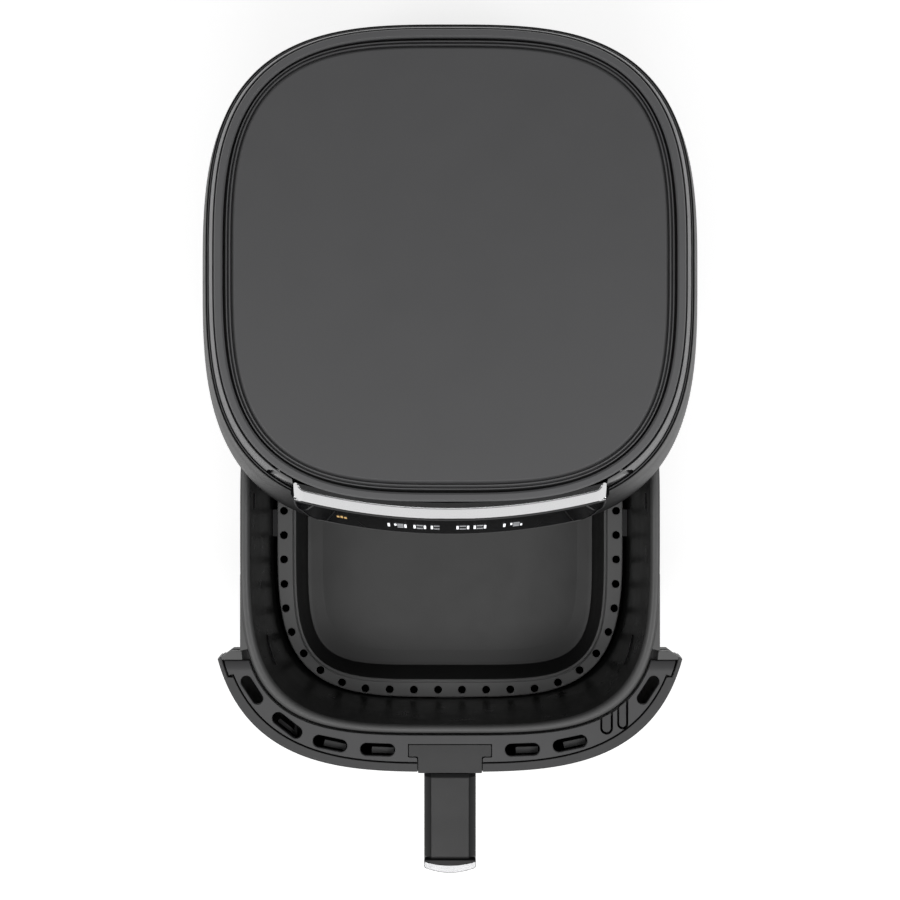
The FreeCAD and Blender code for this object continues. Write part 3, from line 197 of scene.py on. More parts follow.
M = {
    "lid": moulded("lid_plastic", 0.074, 0.50, 0.10, 1700.0, 0.02),
    "ring": moulded("ring_plastic", 0.098, 0.44, 0.10, 1700.0, 0.02),
    "collar": moulded("collar_plastic", 0.098, 0.44, 0.10, 1700.0, 0.03),
    # much lighter plastic for the seam ring's thin lip: painted highlight
    "fin_painted_highlight": moulded("seam_fin_painted_highlight", 0.110, 0.40, 0.10, 1700.0, 0.03),
    "shell": moulded("shell_plastic", 0.009, 0.50, 0.12, 1500.0, 0.04, 0.3),
    "front": moulded("front_plastic", 0.054, 0.46, 0.12, 1500.0, 0.04),
    "front_skin": moulded("front_skin_plastic", 0.035, 0.46, 0.12, 1500.0, 0.04),
    "rib": moulded("rib_plastic", 0.016, 0.5, 0.12, 1500.0, 0.04),
    "tabs": moulded("tab_plastic", 0.040, 0.46, 0.12, 1500.0, 0.04),
    "dark": moulded("dark_plastic", 0.010, 0.55, 0.15, 1200.0, 0.06),
    "black_gloss": glossy_black("black_gloss", 0.005, 0.12, 0.02, 0.2),
    "glass": glossy_black("panel_glass", 0.004, 0.16, 0.01, 0.06),
    "bezel": moulded("panel_bezel", 0.035, 0.40, 0.05, 1500.0, 0.03),
    "faint": moulded("panel_facet", 0.009, 0.40, 0.05, 1500.0, 0.03, 0.15),
    "chrome": metal("bright_trim", (0.58, 0.58, 0.585), 0.14, (1.0, 14.0, 14.0), 0.03, 0.04),
    # darker copy of the trim metal for its top face: painted shade
    "chrome_top_painted_shade": metal("bright_trim_top_painted_shade", (0.17, 0.17, 0.172), 0.20, (1.0, 14.0, 14.0), 0.03, 0.04),
    "cap": metal("bright_cap", (0.24, 0.24, 0.243), 0.26, (1.0, 14.0, 14.0), 0.03, 0.04),
    "digits": lit("lit_digits", (0.95, 0.97, 1.0), 0.85, 0.3),
    "digits_dim": lit("lit_bars", (0.50, 0.51, 0.53), 0.10, 0.3),
    "amber": lit("lit_amber", (0.85, 0.55, 0.22), 0.18, 0.3),
    "pot": coated("pot_coating", 0.012, 0.30, 0.10, 420.0, 0.3),
    # lighter copy of the pot coating for the rolled rim: painted light on the lit top
    "rim": coated("rim_painted_light_coating", 0.085, 0.42),
    "plate": coated("plate_coating", 0.190, 0.46),
    # darker copies of the plate coating for the recess wall and floor: painted shade
    "plate_wall_painted_shade": coated("plate_wall_painted_shade_coating", 0.012, 0.40),
    "plate_floor_painted_shade": coated("plate_floor_painted_shade_coating", 0.056, 0.50),
    "tee": moulded("tee_plastic", 0.020, 0.44, 0.12, 1500.0, 0.03),
    "handle": moulded("handle_plastic", 0.013, 0.42, 0.12, 1500.0, 0.03),
    # darker copy of the handle plastic for the grip's side bevels: painted shade
    "handle_side_painted_shade": moulded("handle_side_painted_shade_plastic", 0.008, 0.40, 0.10, 1500.0, 0.03, 0.2),
    "rubber": moulded("rubber_feet", 0.020, 0.75, 0.35, 900.0, 0.08, 0.3),
    "silicone": moulded("silicone_soft", 0.035, 0.62, 0.2, 900.0, 0.05, 0.35),
    "steel": metal("plain_steel", (0.52, 0.52, 0.53), 0.32),
    "alu": metal("aluminised_sheet", (0.62, 0.62, 0.63), 0.38, (1.0, 8.0, 1.0), 0.06),
    "heater": metal("heater_sheath", (0.16, 0.145, 0.135), 0.45),
    "board": moulded("circuit_board", 0.03, 0.4, 0.1, 700.0, 0.1, 0.5, tone=(0.4, 1.5, 0.7)),
}

NODE_MAT = {
    "lower_housing": "shell", "seam_ring": "dark", "upper_collar": "collar", "top_deck": "dark", "lid_ring": "ring", "lid_panel": "lid",
    "control_housing": "black_gloss", "chrome_trim": "chrome", "display_panel": "glass", "display_digits": "digits", "display_board": "board",
    "base_plate": "dark", "foot_pads": "rubber", "housing_screws": "steel", "bay_liner": "alu", "bay_mouth_frame": "dark", "bay_sill": "dark",
    "bay_ceiling": "alu", "drawer_rails": "steel", "heat_shield": "alu", "heating_element": "heater", "element_guard": "steel",
    "motor_bracket": "steel", "motor_can": "steel", "stator_ring": "heater", "motor_bearings": "steel", "power_board": "board",
    "thermal_cutout": "steel", "temperature_probe": "steel", "switch_body": "dark", "rear_vent_cover": "dark", "cord_gland": "rubber",
    "motor_shaft": "steel", "rotor_core": "heater", "hot_fan": "alu", "cooling_fan": "dark", "fan_nut": "steel", "switch_plunger": "dark",
    "pot": "pot", "front_shell": "front", "front_top_plate": "front", "latch_tabs": "front", "front_inner_moulding": "dark",
    "handle_mount": "handle", "handle_body": "handle", "handle_strip": "chrome", "grip_pad": "silicone", "handle_screws": "steel",
    "crisper_plate": "plate", "plate_feet": "silicone", "plate_bumpers": "silicone",
}
for name, obj in frame["nodes"].items():
    key = NODE_MAT.get(name, "dark")
    if not obj.material_slots:
        obj.data.materials.append(M[key])
    for s_ in obj.material_slots:
        s_.material = M[key]

# ------------------------------------------------------------------ mesh helpers
REC = frame["record"]
BODY = {n: b for b, ns in REC["behaviour"]["bodies"].items() for n in ns}


def prof(pts, seg=4, closed=False):
    """Section points (a, z) or (a, z, r): corners that carry a radius are rounded."""
    out, k = [], len(pts)
    for i, p in enumerate(pts):
        r = p[2] if len(p) > 2 else 0.0
        if r <= 0 or (not closed and i in (0, k - 1)):
            out.append((p[0], p[1]))
            continue
        c = Vector((p[0], p[1]))
        u1 = Vector(pts[i - 1][:2]) - c
        u2 = Vector(pts[(i + 1) % k][:2]) - c
        l1, l2 = u1.length, u2.length
        u1.normalize()
        u2.normalize()
        ang = max(0.05, min(PI - 0.02, u1.angle(u2)))
        t = min(r / math.tan(ang / 2), 0.49 * l1, 0.49 * l2)
        p1, p2 = c + u1 * t, c + u2 * t
        for j in range(seg + 1):
            f = j / seg
            q = p1 * (1 - f) ** 2 + c * 2 * f * (1 - f) + p2 * f * f
            out.append((q.x, q.y))
    return out


def sq_r(t, a, b, n):
    return (abs(math.cos(t) / a) ** n + abs(math.sin(t) / b) ** n) ** (-1.0 / n)


def squircle(a, b, n, count=256, t0=-PI / 2, t1=3 * PI / 2):
    """Plan outline, counter-clockwise from the front."""
    full = abs((t1 - t0) - 2 * PI) < 1e-6
    m = count if full else count - 1
    out = []
    for k in range(count):
        t = t0 + (t1 - t0) * k / m
        r = sq_r(t, a, b, n)
        out.append((r * math.cos(t), r * math.sin(t)))
    return out


def to_mesh(name, verts, faces, oy=0.0, mats=None):
    me = bpy.data.meshes.new(name)
    me.from_pydata([(v[0] / 1000.0, (v[1] + oy) / 1000.0, v[2] / 1000.0) for v in verts], [], faces)
    if mats:
        for poly, mi in zip(me.polygons, mats):
            poly.material_index = mi
    me.validate()
    bm = bmesh.new()
    bm.from_mesh(me)
    bmesh.ops.remove_doubles(bm, verts=bm.verts, dist=2e-6)
    bmesh.ops.recalc_face_normals(bm, faces=bm.faces)
    bm.to_mesh(me)
    bm.free()
    return me


def loft(name, levels, oy, count=256, closed=False, mat_of=None):
    """levels (a, b, n, z). closed joins the last level to the first; otherwise both ends are capped."""
    verts, faces, mi = [], [], []
    for a, b, n, z in levels:
        verts += [(x, y, z) for x, y in squircle(a, b, n, count)]
    k = len(levels)
    for i in range(k if closed else k - 1):
        p, q = i * count, ((i + 1) % k) * count
        for j in range(count):
            j2 = (j + 1) % count
            faces.append((p + j, p + j2, q + j2, q + j))
            mi.append(mat_of(i) if mat_of else 0)
    if not closed:
        faces.append(tuple(range(count))[::-1])
        mi.append(mat_of(0) if mat_of else 0)
        faces.append(tuple(range((k - 1) * count, k * count)))
        mi.append(mat_of(k - 2) if mat_of else 0)
    return to_mesh(name, verts, faces, oy, mi)


def inset(pts, d):
    """Moves a closed counter-clockwise outline inwards by d."""
    out, k = [], len(pts)
    for i in range(k):
        p0, p1, p2 = Vector(pts[i - 1]), Vector(pts[i]), Vector(pts[(i + 1) % k])
        e1, e2 = (p1 - p0), (p2 - p1)
        if e1.length < 1e-6 or e2.length < 1e-6:
            out.append(pts[i])
            continue
        e1.normalize()
        e2.normalize()
        n1, n2 = Vector((-e1.y, e1.x)), Vector((-e2.y, e2.x))
        m = n1 + n2
        if m.length < 1e-6:
            out.append(pts[i])
            continue
        m.normalize()
        s = d / max(0.35, m.dot(n1))
        out.append((p1.x + m.x * s, p1.y + m.y * s))
    return out


def round_poly(pts, seg=5):
    """Plan polygon (x, y) or (x, y, r) with rounded corners."""
    return prof(pts, seg, True)


def ccw(pts):
    area = sum(pts[i - 1][0] * pts[i][1] - pts[i][0] * pts[i - 1][1] for i in range(len(pts)))
    return pts if area > 0 else pts[::-1]


def slab(name, pts, z0, z1, oy, bevel=0.35, low_bevel=0.0, seg=3, axis="z"):
    """Plate with the given plan and softened upper edge."""
    pts = ccw(pts)
    rings = []
    if low_bevel:
        rings.append((inset(pts, low_bevel), z0))
        rings.append((pts, z0 + low_bevel))
    else:
        rings.append((pts, z0))
    for j in range(seg + 1):
        a = PI / 2 * j / seg
        rings.append((inset(pts, bevel * (1 - math.cos(a))) if j else pts, z1 - bevel + bevel * math.sin(a)))
    verts, faces = [], []
    k = len(pts)
    for ring_, z in rings:
        for x, y in ring_:
            verts.append((x, y, z) if axis == "z" else ((z, x, y) if axis == "x" else (x, z, y)))
    for i in range(len(rings) - 1):
        p, q = i * k, (i + 1) * k
        for j in range(k):
            j2 = (j + 1) % k
            faces.append((p + j, p + j2, q + j2, q + j))
    faces.append(tuple(range(k))[::-1])
    faces.append(tuple(range((len(rings) - 1) * k, len(rings) * k)))
    return to_mesh(name, verts, faces, oy)


def solid(me):
    ob = bpy.data.objects.new(me.name, me)
    bpy.context.scene.collection.objects.link(ob)
    return ob


def merge(meshes, name="joined"):
    bm = bmesh.new()
    for m_ in meshes:
        bm.from_mesh(m_)
    out = bpy.data.meshes.new(name)
    bm.to_mesh(out)
    bm.free()
    return out


def carve(me, *cutters, op="DIFFERENCE"):
    """Cuts closed meshes out of me and returns the result."""
    ob = solid(me)
    extra = []
    for c in cutters:
        co = solid(c)
        extra.append(co)
        md = ob.modifiers.new("cut", "BOOLEAN")
        md.operation = op
        md.solver = "EXACT"
        md.object = co
    bpy.context.view_layer.update()
    dg = bpy.context.evaluated_depsgraph_get()
    out = bpy.data.meshes.new_from_object(ob.evaluated_get(dg))
    out.name = me.name
    for o in [ob] + extra:
        bpy.data.objects.remove(o, do_unlink=True)
    return out


def brick(x0, x1, y0, y1, z0, z1, oy):
    v = [(x, y, z) for x in (x0, x1) for y in (y0, y1) for z in (z0, z1)]
    f = [(0, 1, 3, 2), (4, 6, 7, 5), (0, 4, 5, 1), (2, 3, 7, 6), (0, 2, 6, 4), (1, 5, 7, 3)]
    return to_mesh("brick", v, f, oy)


def add(name, me, mats, like, replaces=True, sharp=32.0, weighted=False):
    """Adds a finished piece that rides with the body of the CAD node it stands for."""
    for p in me.polygons:
        p.use_smooth = True
    me.set_sharp_from_angle(angle=math.radians(sharp))
    mats = mats if isinstance(mats, (list, tuple)) else [mats]
    keep_mi = [p.material_index for p in me.polygons]
    me.materials.clear()
    for m_ in mats:
        me.materials.append(M[m_])
    for p, mi in zip(me.polygons, keep_mi):
        p.material_index = mi if mi < len(mats) else 0
    me.name = name
    ob = solid(me)
    ob.name = name
    wn = ob.modifiers.new("face_weight", "WEIGHTED_NORMAL")
    wn.keep_sharp = True
    wn.weight = 50
    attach(ob, BODY[like])
    if replaces:
        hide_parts(like)
    return ob


NQ = 3.12
# ------------------------------------------------------------------ lid, ring, collar, seam
def lid_n(a):
    return 3.33 - max(0.0, a - 119.1) * (0.23 / 11.2)


lid_section = prof([(123.8, 308.2), (123.8, 312.0), (123.5, 314.6, 0.3), (122.8, 314.7, 0.25), (122.6, 312.4), (121.8, 312.4), (121.6, 315.2, 0.25),
                    (120.8, 315.3, 0.25), (120.6, 312.6), (119.7, 312.6), (119.5, 315.2), (118.7, 316.0, 0.8), (112.0, 316.0)])
add("lid_panel_top", loft("lid", [(a, a, lid_n(a), z) for a, z in lid_section], HY, 320), "lid", "lid_panel")
ring_section = prof([(125.3, 308.2), (125.3, 313.8, 0.5), (126.3, 314.7, 0.4), (129.3, 314.7, 0.6), (130.1, 313.8, 0.4), (130.1, 311.6), (129.2, 311.2), (129.2, 308.2)], 4, True)
add("lid_ring_band", loft("ring", [(a, a, 3.10 + (130.1 - a) * 0.012, z) for a, z in ring_section], HY, 320, True), "ring", "lid_ring")

collar_section = prof([(131.0, 307.2), (131.0, 310.7, 0.35), (131.4, 310.9, 0.3), (132.9, 306.0, 2.0), (134.3, 300.0, 3.0), (135.4, 294.3, 0.5), (134.7, 293.7, 0.3),
                       (132.6, 293.7), (131.6, 300.0), (129.2, 303.4), (129.2, 307.2)], 4, True)
collar_me = loft("collar", [(a, a, NQ, z) for a, z in collar_section], HY, 320, True)
bite = round_poly([(-103.1, 290.0), (103.1, 290.0), (102.7, 296.0, 6.0), (101.2, 302.0, 6.0), (98.0, 308.0, 5.0), (92.1, 312.0), (91.5, 322.0), (-91.5, 322.0), (-92.1, 312.0),
                   (-98.0, 308.0, 5.0), (-101.2, 302.0, 6.0), (-102.7, 296.0, 6.0)], 5)
collar_me = carve(collar_me, slab("bite", bite, -200.0, -60.0, HY, 0.01, axis="y"))
add("upper_collar_shoulder", collar_me, "collar", "upper_collar")

seam_section = [(131.7, 287.0), (136.9, 287.0), (136.95, 289.6), (136.5, 289.6), (136.5, 293.0), (136.3, 293.2), (136.05, 293.0), (136.05, 289.8), (134.3, 289.8), (134.0, 293.0), (131.7, 293.0)]
# the lip faces (levels 3 to 6) take the lighter plastic, a painted highlight along the seam's lip
seam_me = loft("seam", [(a, a, NQ, z) for a, z in seam_section], HY, 320, True, lambda i: 1 if 3 <= i <= 6 else 0)
seam_me = carve(seam_me, brick(-89.4, 89.4, -200.0, -60.0, 280.0, 305.0, HY))
add("seam_channel", seam_me, ["dark", "fin_painted_highlight"], "seam_ring")

# ------------------------------------------------------------------ barrel shell of the housing
shell_out = [(145.0, 10.0), (145.9, 11.0), (146.5, 18.0), (148.6, 40.0), (151.3, 80.0), (152.7, 120.0), (153.0, 155.0), (152.0, 187.0), (149.2, 216.0), (146.2, 240.0),
             (142.8, 262.0), (140.9, 272.0), (139.6, 280.0), (138.4, 288.0), (137.9, 290.9), (137.5, 291.7), (137.05, 291.5), (136.98, 287.6)]
shell_in = [(134.6, 287.0), (136.0, 278.0), (138.6, 262.0), (143.4, 240.0), (146.4, 216.0), (149.2, 187.0), (150.2, 155.0), (149.9, 120.0), (148.5, 80.0), (145.8, 40.0),
            (143.7, 18.0), (142.6, 10.0)]


def smooth_section(pts, sub=4):
    out = []
    k = len(pts)
    for i in range(k - 1):
        p0, p1, p2, p3 = pts[max(0, i - 1)], pts[i], pts[i + 1], pts[min(k - 1, i + 2)]
        for s_ in range(sub):
            f = s_ / sub
            z = p1[1] + (p2[1] - p1[1]) * f
            m1 = (p2[0] - p0[0]) / (p2[1] - p0[1]) * (p2[1] - p1[1])
            m2 = (p3[0] - p1[0]) / (p3[1] - p1[1]) * (p2[1] - p1[1])
            a = (2 * f ** 3 - 3 * f ** 2 + 1) * p1[0] + (f ** 3 - 2 * f ** 2 + f) * m1 + (-2 * f ** 3 + 3 * f ** 2) * p2[0] + (f ** 3 - f ** 2) * m2
            out.append((a, z))
    out.append(pts[-1])
    return out


shell_levels = [shell_out[0]] + smooth_section(shell_out[1:14]) + shell_out[14:] + shell_in
barrel = loft("barrel", [(a, a, NQ, z) for a, z in shell_levels], HY, 288, True)
mouth_line = [(-220.0, 20.5), (-94.3, 20.5), (-79.0, 165.0), (-79.0, 187.6), (-220.0, 187.6)]
mouth = to_mesh("mouth", [(x, y, z) for x in (-200.0, 200.0) for y, z in mouth_line],
                [(0, 1, 2, 3, 4), (9, 8, 7, 6, 5)] + [(i, i + 5, (i + 1) % 5 + 5, (i + 1) % 5) for i in range(5)], HY)
vents = merge([brick(i * 7.0 - 1.6, i * 7.0 + 1.6, 120.0, 170.0, 212.0, 254.0, HY) for i in range(-6, 7)])
barrel = carve(barrel, mouth, vents)
add("lower_housing_shell", barrel, "shell", "lower_housing", sharp=28)

# ------------------------------------------------------------------ chrome trim and display
AX = 204.5


def on_arc(x, f, z):
    r = AX + f
    ph = math.asin(max(-1.0, min(1.0, x / r)))
    return (r * math.sin(ph), AX - r * math.cos(ph), z)


def trim_height(x, f):
    rc = 3.2
    qx, qf = abs(x) - (84.4 - rc), f - (134.3 - rc)
    d = math.hypot(max(qx, 0.0), max(qf, 0.0)) + min(max(qx, qf), 0.0) - rc
    top = 309.0 - (f - 130.9) * 0.03
    if d <= -0.35:
        return top
    if d < 0.35:
        return top - 1.35 * (d + 0.35) ** 2 / 1.4
    return top - 1.35 * d


nx, nf = 320, 26
fs = [130.9 + (140.5 - 130.9) * j / nf for j in range(nf + 1)]
xs = [-86.9 + 173.8 * i / nx for i in range(nx + 1)]
tv, tf_ = [], []
for i, x in enumerate(xs):
    for j, f in enumerate(fs):
        z = max(300.2, trim_height(x, f))
        edge = min(0.5, 140.5 - f) / 0.5
        tv.append(on_arc(x, f, z - (0.5 - 0.5 * math.sqrt(max(0.0, 1 - (1 - edge) ** 2)))))
w_ = nf + 1
for i in range(nx):
    for j in range(nf):
        tf_.append((i * w_ + j, i * w_ + j + 1, (i + 1) * w_ + j + 1, (i + 1) * w_ + j))
base_i = len(tv)
border = [(i, 0) for i in range(nx + 1)] + [(nx, j) for j in range(1, nf + 1)] + [(i, nf) for i in range(nx - 1, -1, -1)] + [(0, j) for j in range(nf - 1, 0, -1)]
for i, j in border:
    tv.append(on_arc(xs[i], fs[j], 298.8))
kb = len(border)
for q in range(kb):
    a0, a1 = border[q], border[(q + 1) % kb]
    tf_.append((a0[0] * w_ + a0[1], a1[0] * w_ + a1[1], base_i + (q + 1) % kb, base_i + q))
tf_.append(tuple(base_i + q for q in range(kb)))
trim_me = to_mesh("trim", tv, tf_, HY)
# the top faces take the darker copy of the chrome, painted shade on the trim's top
for p in trim_me.polygons:
    p.material_index = 1 if p.center.z > 0.30865 else 0
add("chrome_trim_band", trim_me, ["chrome", "chrome_top_painted_shade"], "chrome_trim", sharp=24)

PW = [(298.0, 87.5), (284.0, 87.5), (280.0, 86.9), (276.0, 85.0), (270.0, 83.9), (264.0, 82.2), (260.0, 79.6), (256.8, 75.9)]


def panel_half(z):
    for (z0, w0), (z1, w1) in zip(PW, PW[1:]):
        if z >= z1:
            return w0 + (w1 - w0) * (z - z0) / (z1 - z0)
    return PW[-1][1]


def panel_front(z):
    return 141.6 + (297.0 - z) * 9.0 / 40.3


rows = [298.0, 297.2, 296.4, 294.0, 290.0, 286.0, 284.0, 282.0, 280.0, 278.0, 276.0, 273.0, 270.0, 267.0, 264.0, 262.0, 260.0, 258.8, 258.0, 257.4, 256.8]
nu = 168
us = [-1.0, -0.9965, -0.993, -0.9895, -0.986] + [-0.98 + 1.96 * i / nu for i in range(nu + 1)] + [0.986, 0.9895, 0.993, 0.9965, 1.0]
pv, pf, pm = [], [], []
for z in rows:
    h = panel_half(z)
    for u in us:
        x = u * h
        edge = min(h - abs(x), z - 256.8, 99.0)
        proud = 0.0
        if edge < 1.15:
            proud = 0.28 * min(1.0, (1.15 - edge) / 0.25) - 0.35 * max(0.0, 0.3 - edge)
        pv.append(on_arc(x, panel_front(z) + proud, z))
wu = len(us)
for i in range(len(rows) - 1):
    for j in range(wu - 1):
        pf.append((i * wu + j, i * wu + j + 1, (i + 1) * wu + j + 1, (i + 1) * wu + j))
        pm.append(1 if (j < 3 or j >= wu - 4 or i >= len(rows) - 3) else 0)
off = len(pv)
for z in rows:
    h = panel_half(z)
    for u in us:
        pv.append(on_arc(u * h, panel_front(z) - 3.0, z))
for i in range(len(rows) - 1):
    for j in range(wu - 1):
        pf.append((off + i * wu + j, off + (i + 1) * wu + j, off + (i + 1) * wu + j + 1, off + i * wu + j + 1))
        pm.append(0)
rim_idx = [(0, j) for j in range(wu)] + [(i, wu - 1) for i in range(1, len(rows))] + [(len(rows) - 1, j) for j in range(wu - 2, -1, -1)] + [(i, 0) for i in range(len(rows) - 2, 0, -1)]
for q in range(len(rim_idx)):
    a0, a1 = rim_idx[q], rim_idx[(q + 1) % len(rim_idx)]
    pf.append((a0[0] * wu + a0[1], a1[0] * wu + a1[1], off + a1[0] * wu + a1[1], off + a0[0] * wu + a0[1]))
    pm.append(1)
add("display_panel_glass", to_mesh("panel", pv, pf, HY, pm), ["glass", "bezel"], "display_panel", sharp=20)

# hairline steps moulded in the panel's face, and the read-out
LEAN = math.atan2(9.0, 40.3)


def strip(x0, z0, x1, z1, wide, proud=0.12):
    """Thin raised line on the face of the panel."""
    v, f = [], []
    k = 10
    for i in range(k + 1):
        t = i / k
        x, z = x0 + (x1 - x0) * t, z0 + (z1 - z0) * t
        dx, dz = x1 - x0, z1 - z0
        L = math.hypot(dx, dz)
        ox, oz = -dz / L * wide / 2, dx / L * wide / 2
        for s_, pr in ((-1, -0.2), (-1, proud), (1, proud), (1, -0.2)):
            v.append(on_arc(x + ox * s_, panel_front(z + oz * s_) + pr, z + oz * s_))
    for i in range(k):
        for j in range(4):
            f.append((i * 4 + j, i * 4 + (j + 1) % 4, (i + 1) * 4 + (j + 1) % 4, (i + 1) * 4 + j))
    f.append((0, 1, 2, 3))
    f.append((4 * k, 4 * k + 3, 4 * k + 2, 4 * k + 1))
    return to_mesh("line", v, f, HY)


lines_ = []
for sg in (-1, 1):
    lines_.append(strip(sg * 81.8, 279.4, sg * 76.6, 297.0, 0.9))
add("display_panel_creases", merge(lines_), "bezel", "display_panel", replaces=False)
lines_ = []
for sg in (-1, 1):
    lines_.append(strip(sg * 71.5, 259.5, sg * 64.6, 294.0, 0.6, 0.05))
    lines_.append(strip(sg * 52.0, 272.0, sg * 48.6, 258.4, 0.5, 0.05))
add("display_panel_facets", merge(lines_), "faint", "display_panel", replaces=False)

bright, dim = [], []


def seg_box(cx, x0, x1, z0, z1):
    v = []
    for x in (x0, x1):
        for pr in (0.01, 0.3):
            for z in (z0, z1):
                v.append(on_arc(cx + x, panel_front(277.6 + z) + pr, 277.6 + z))
    return to_mesh("seg", v, [(0, 1, 3, 2), (4, 6, 7, 5), (0, 4, 5, 1), (2, 3, 7, 6), (0, 2, 6, 4), (1, 5, 7, 3)], HY)


MARKS = [(-34.9, "1", None), (-31.1, "9", -25.4), (-20.2, "0", -14.3), (-10.3, "C", -4.9), (4.3, "0", 10.3), (14.1, "0", 20.0), (31.0, "1", None), (34.9, "5", 40.6)]


for xl, shape, xr in MARKS:
    if shape == "1":
        bright.append(seg_box(xl, -0.65, 0.65, -3.9, 3.9))
        continue
    st = 0.62
    if shape in "0C":
        bright.append(seg_box(xl, -st, st, 0.4, 4.2))
        bright.append(seg_box(xl, -st, st, -4.2, -0.4))
    elif shape == "9":
        bright.append(seg_box(xl, -st, st, 0.4, 4.2))
    else:
        bright.append(seg_box(xl, -st * 0.9, st * 0.9, 0.4, 4.2))
    if shape in "09":
        bright.append(seg_box(xr, -st, st, 0.4, 4.2))
        bright.append(seg_box(xr, -st, st, -4.2, -0.4))
    elif shape == "5":
        bright.append(seg_box(xr, -st * 0.9, st * 0.9, -4.2, -0.4))
    xm, hw = (xl + xr) / 2, (xr - xl) / 2 - 1.1
    for z0, z1 in {"0": ((3.6, 5.0), (-5.0, -3.6)), "C": ((3.6, 5.0), (-5.0, -3.6)), "9": ((3.6, 5.0), (-0.7, 0.7), (-5.0, -3.6)), "5": ((3.6, 5.0), (-0.7, 0.7), (-5.0, -3.6))}[shape]:
        dim.append(seg_box(xm, -hw, hw, z0, z1))
add("readout_uprights", merge(bright), "digits", "display_digits")
add("readout_bars", merge(dim), "digits_dim", "display_digits", replaces=False)
amber = []
for k_ in range(3):
    amber.append(seg_box(-63.6 + k_ * 2.1, -0.7, 0.7, 1.5, 4.5 + (k_ == 1) * 1.2))
add("readout_icon", merge(amber), "amber", "display_digits", replaces=False)

# ------------------------------------------------------------------ pot
PL = [(106.0, 105.0, 3.4, 50.5), (108.0, 107.0, 3.4, 50.5), (112.0, 111.0, 3.45, 52.0), (116.2, 115.2, 3.5, 57.0), (119.3, 118.0, 3.6, 66.0), (121.7, 119.9, 3.7, 90.0),
      (123.9, 121.6, 3.8, 135.0), (125.8, 122.9, 3.8, 178.0), (126.2, 123.2, 3.8, 182.4), (127.0, 123.6, 3.8, 183.2), (128.6, 124.8, 3.8, 183.2), (129.4, 125.5, 3.8, 182.6),
      (129.6, 125.8, 3.8, 181.0), (130.0, 126.1, 3.8, 180.6), (130.4, 126.5, 3.8, 181.0), (130.5, 126.6, 3.8, 184.2), (130.3, 126.4, 3.8, 185.2), (129.7, 125.8, 3.8, 185.9),
      (128.8, 125.0, 3.8, 186.2), (127.2, 123.7, 3.8, 186.2), (126.2, 122.9, 3.8, 185.9), (125.4, 122.3, 3.8, 185.2), (124.9, 121.9, 3.8, 184.2), (124.6, 121.6, 3.8, 182.6),
      (124.3, 121.4, 3.8, 178.0), (123.4, 120.8, 3.8, 156.0), (122.4, 120.1, 3.8, 135.0), (121.3, 119.3, 3.75, 112.0), (120.2, 118.4, 3.7, 90.0), (119.2, 117.6, 3.65, 78.0),
      (117.8, 116.5, 3.6, 67.0), (116.5, 115.3, 3.55, 61.5), (114.4, 113.3, 3.5, 57.6), (110.6, 109.6, 3.45, 53.5), (106.8, 105.8, 3.4, 52.0), (100.0, 99.0, 3.4, 52.0)]
# the rolled rim (levels 9 to 22) takes the lighter copy, painted light on the rim
pot_me = loft("pot", PL, DY, 288, False, lambda i: 1 if 9 <= i <= 22 else 0)
add("pot_shell", pot_me, ["pot", "rim"], "pot", sharp=40)
# fill marks pressed into the walls: slim dark ribs
ribs_ = []


def wall_rib(y0, y1, z0, z1, wide, side, drop=0.0):
    v, f = [], []
    k = 12
    for i in range(k + 1):
        t = i / k
        y = y0 + (y1 - y0) * t
        z = z0 + (z1 - z0) * t
        g = (z - 90.0) / 45.0
        a = 120.2 + 2.2 * g
        b = 118.4 + 1.7 * g
        n = 3.7
        x = a * max(0.0, 1 - (abs(y) / b) ** n) ** (1 / n)
        for dz, pr in ((-wide, 0.05), (-wide * 0.6, 0.55), (wide * 0.6, 0.55), (wide, 0.05)):
            v.append((side * (x - pr + dz * 0.045), y, z + dz))
    for i in range(k):
        for j in range(4):
            f.append((i * 4 + j, i * 4 + (j + 1) % 4, (i + 1) * 4 + (j + 1) % 4, (i + 1) * 4 + j))
    f.append((0, 1, 2, 3))
    f.append((4 * k, 4 * k + 3, 4 * k + 2, 4 * k + 1))
    return to_mesh("rib", v, f, DY)


for sg in (-1, 1):
    ribs_.append(wall_rib(44.0, 33.0, 168.0, 168.0, 1.6, sg))
    ribs_.append(wall_rib(34.5, 24.0, 140.0, 140.0, 1.6, sg))
    ribs_.append(wall_rib(22.0, 12.0, 165.0, 165.0, 1.6, sg))
    ribs_.append(wall_rib(-70.0, -88.0, 140.0, 152.0, 1.8, sg))
add("pot_wall_ribs", merge(ribs_), "black_gloss", "pot", replaces=False)

# ------------------------------------------------------------------ crisper plate
TN = 3.7


def plate_n(a):
    return TN if a > 110.0 else 4.6 if a > 103.0 else 5.2


tray_section = prof([(116.6, 82.6), (116.6, 86.4, 0.6), (116.0, 87.0, 0.5), (106.3, 87.0), (106.1, 86.2), (105.5, 86.2), (105.3, 88.1, 0.3), (104.5, 88.3, 0.4), (103.9, 87.6, 0.5),
                     (102.9, 84.0), (100.3, 76.0, 3.0), (98.2, 68.0, 2.0), (97.4, 66.6, 1.0), (95.4, 66.2, 2.0), (87.4, 65.2, 1.0), (84.0, 65.1)], 5)
tray_low = prof([(84.0, 63.8), (93.4, 63.9, 2.0), (98.0, 65.2, 2.0), (99.9, 69.0, 3.0), (101.7, 76.0, 3.0), (103.7, 84.0), (104.0, 85.7, 0.6), (115.4, 85.7, 0.4), (115.5, 82.6)], 5)


def front_b(a):
    return a + (1.0 if a > 112 else 1.5 if a > 100 else 0.8)


lv = [(a, front_b(a), plate_n(a), z) for a, z in tray_section]
lw = [(a, front_b(a), plate_n(a), z) for a, z in tray_low]
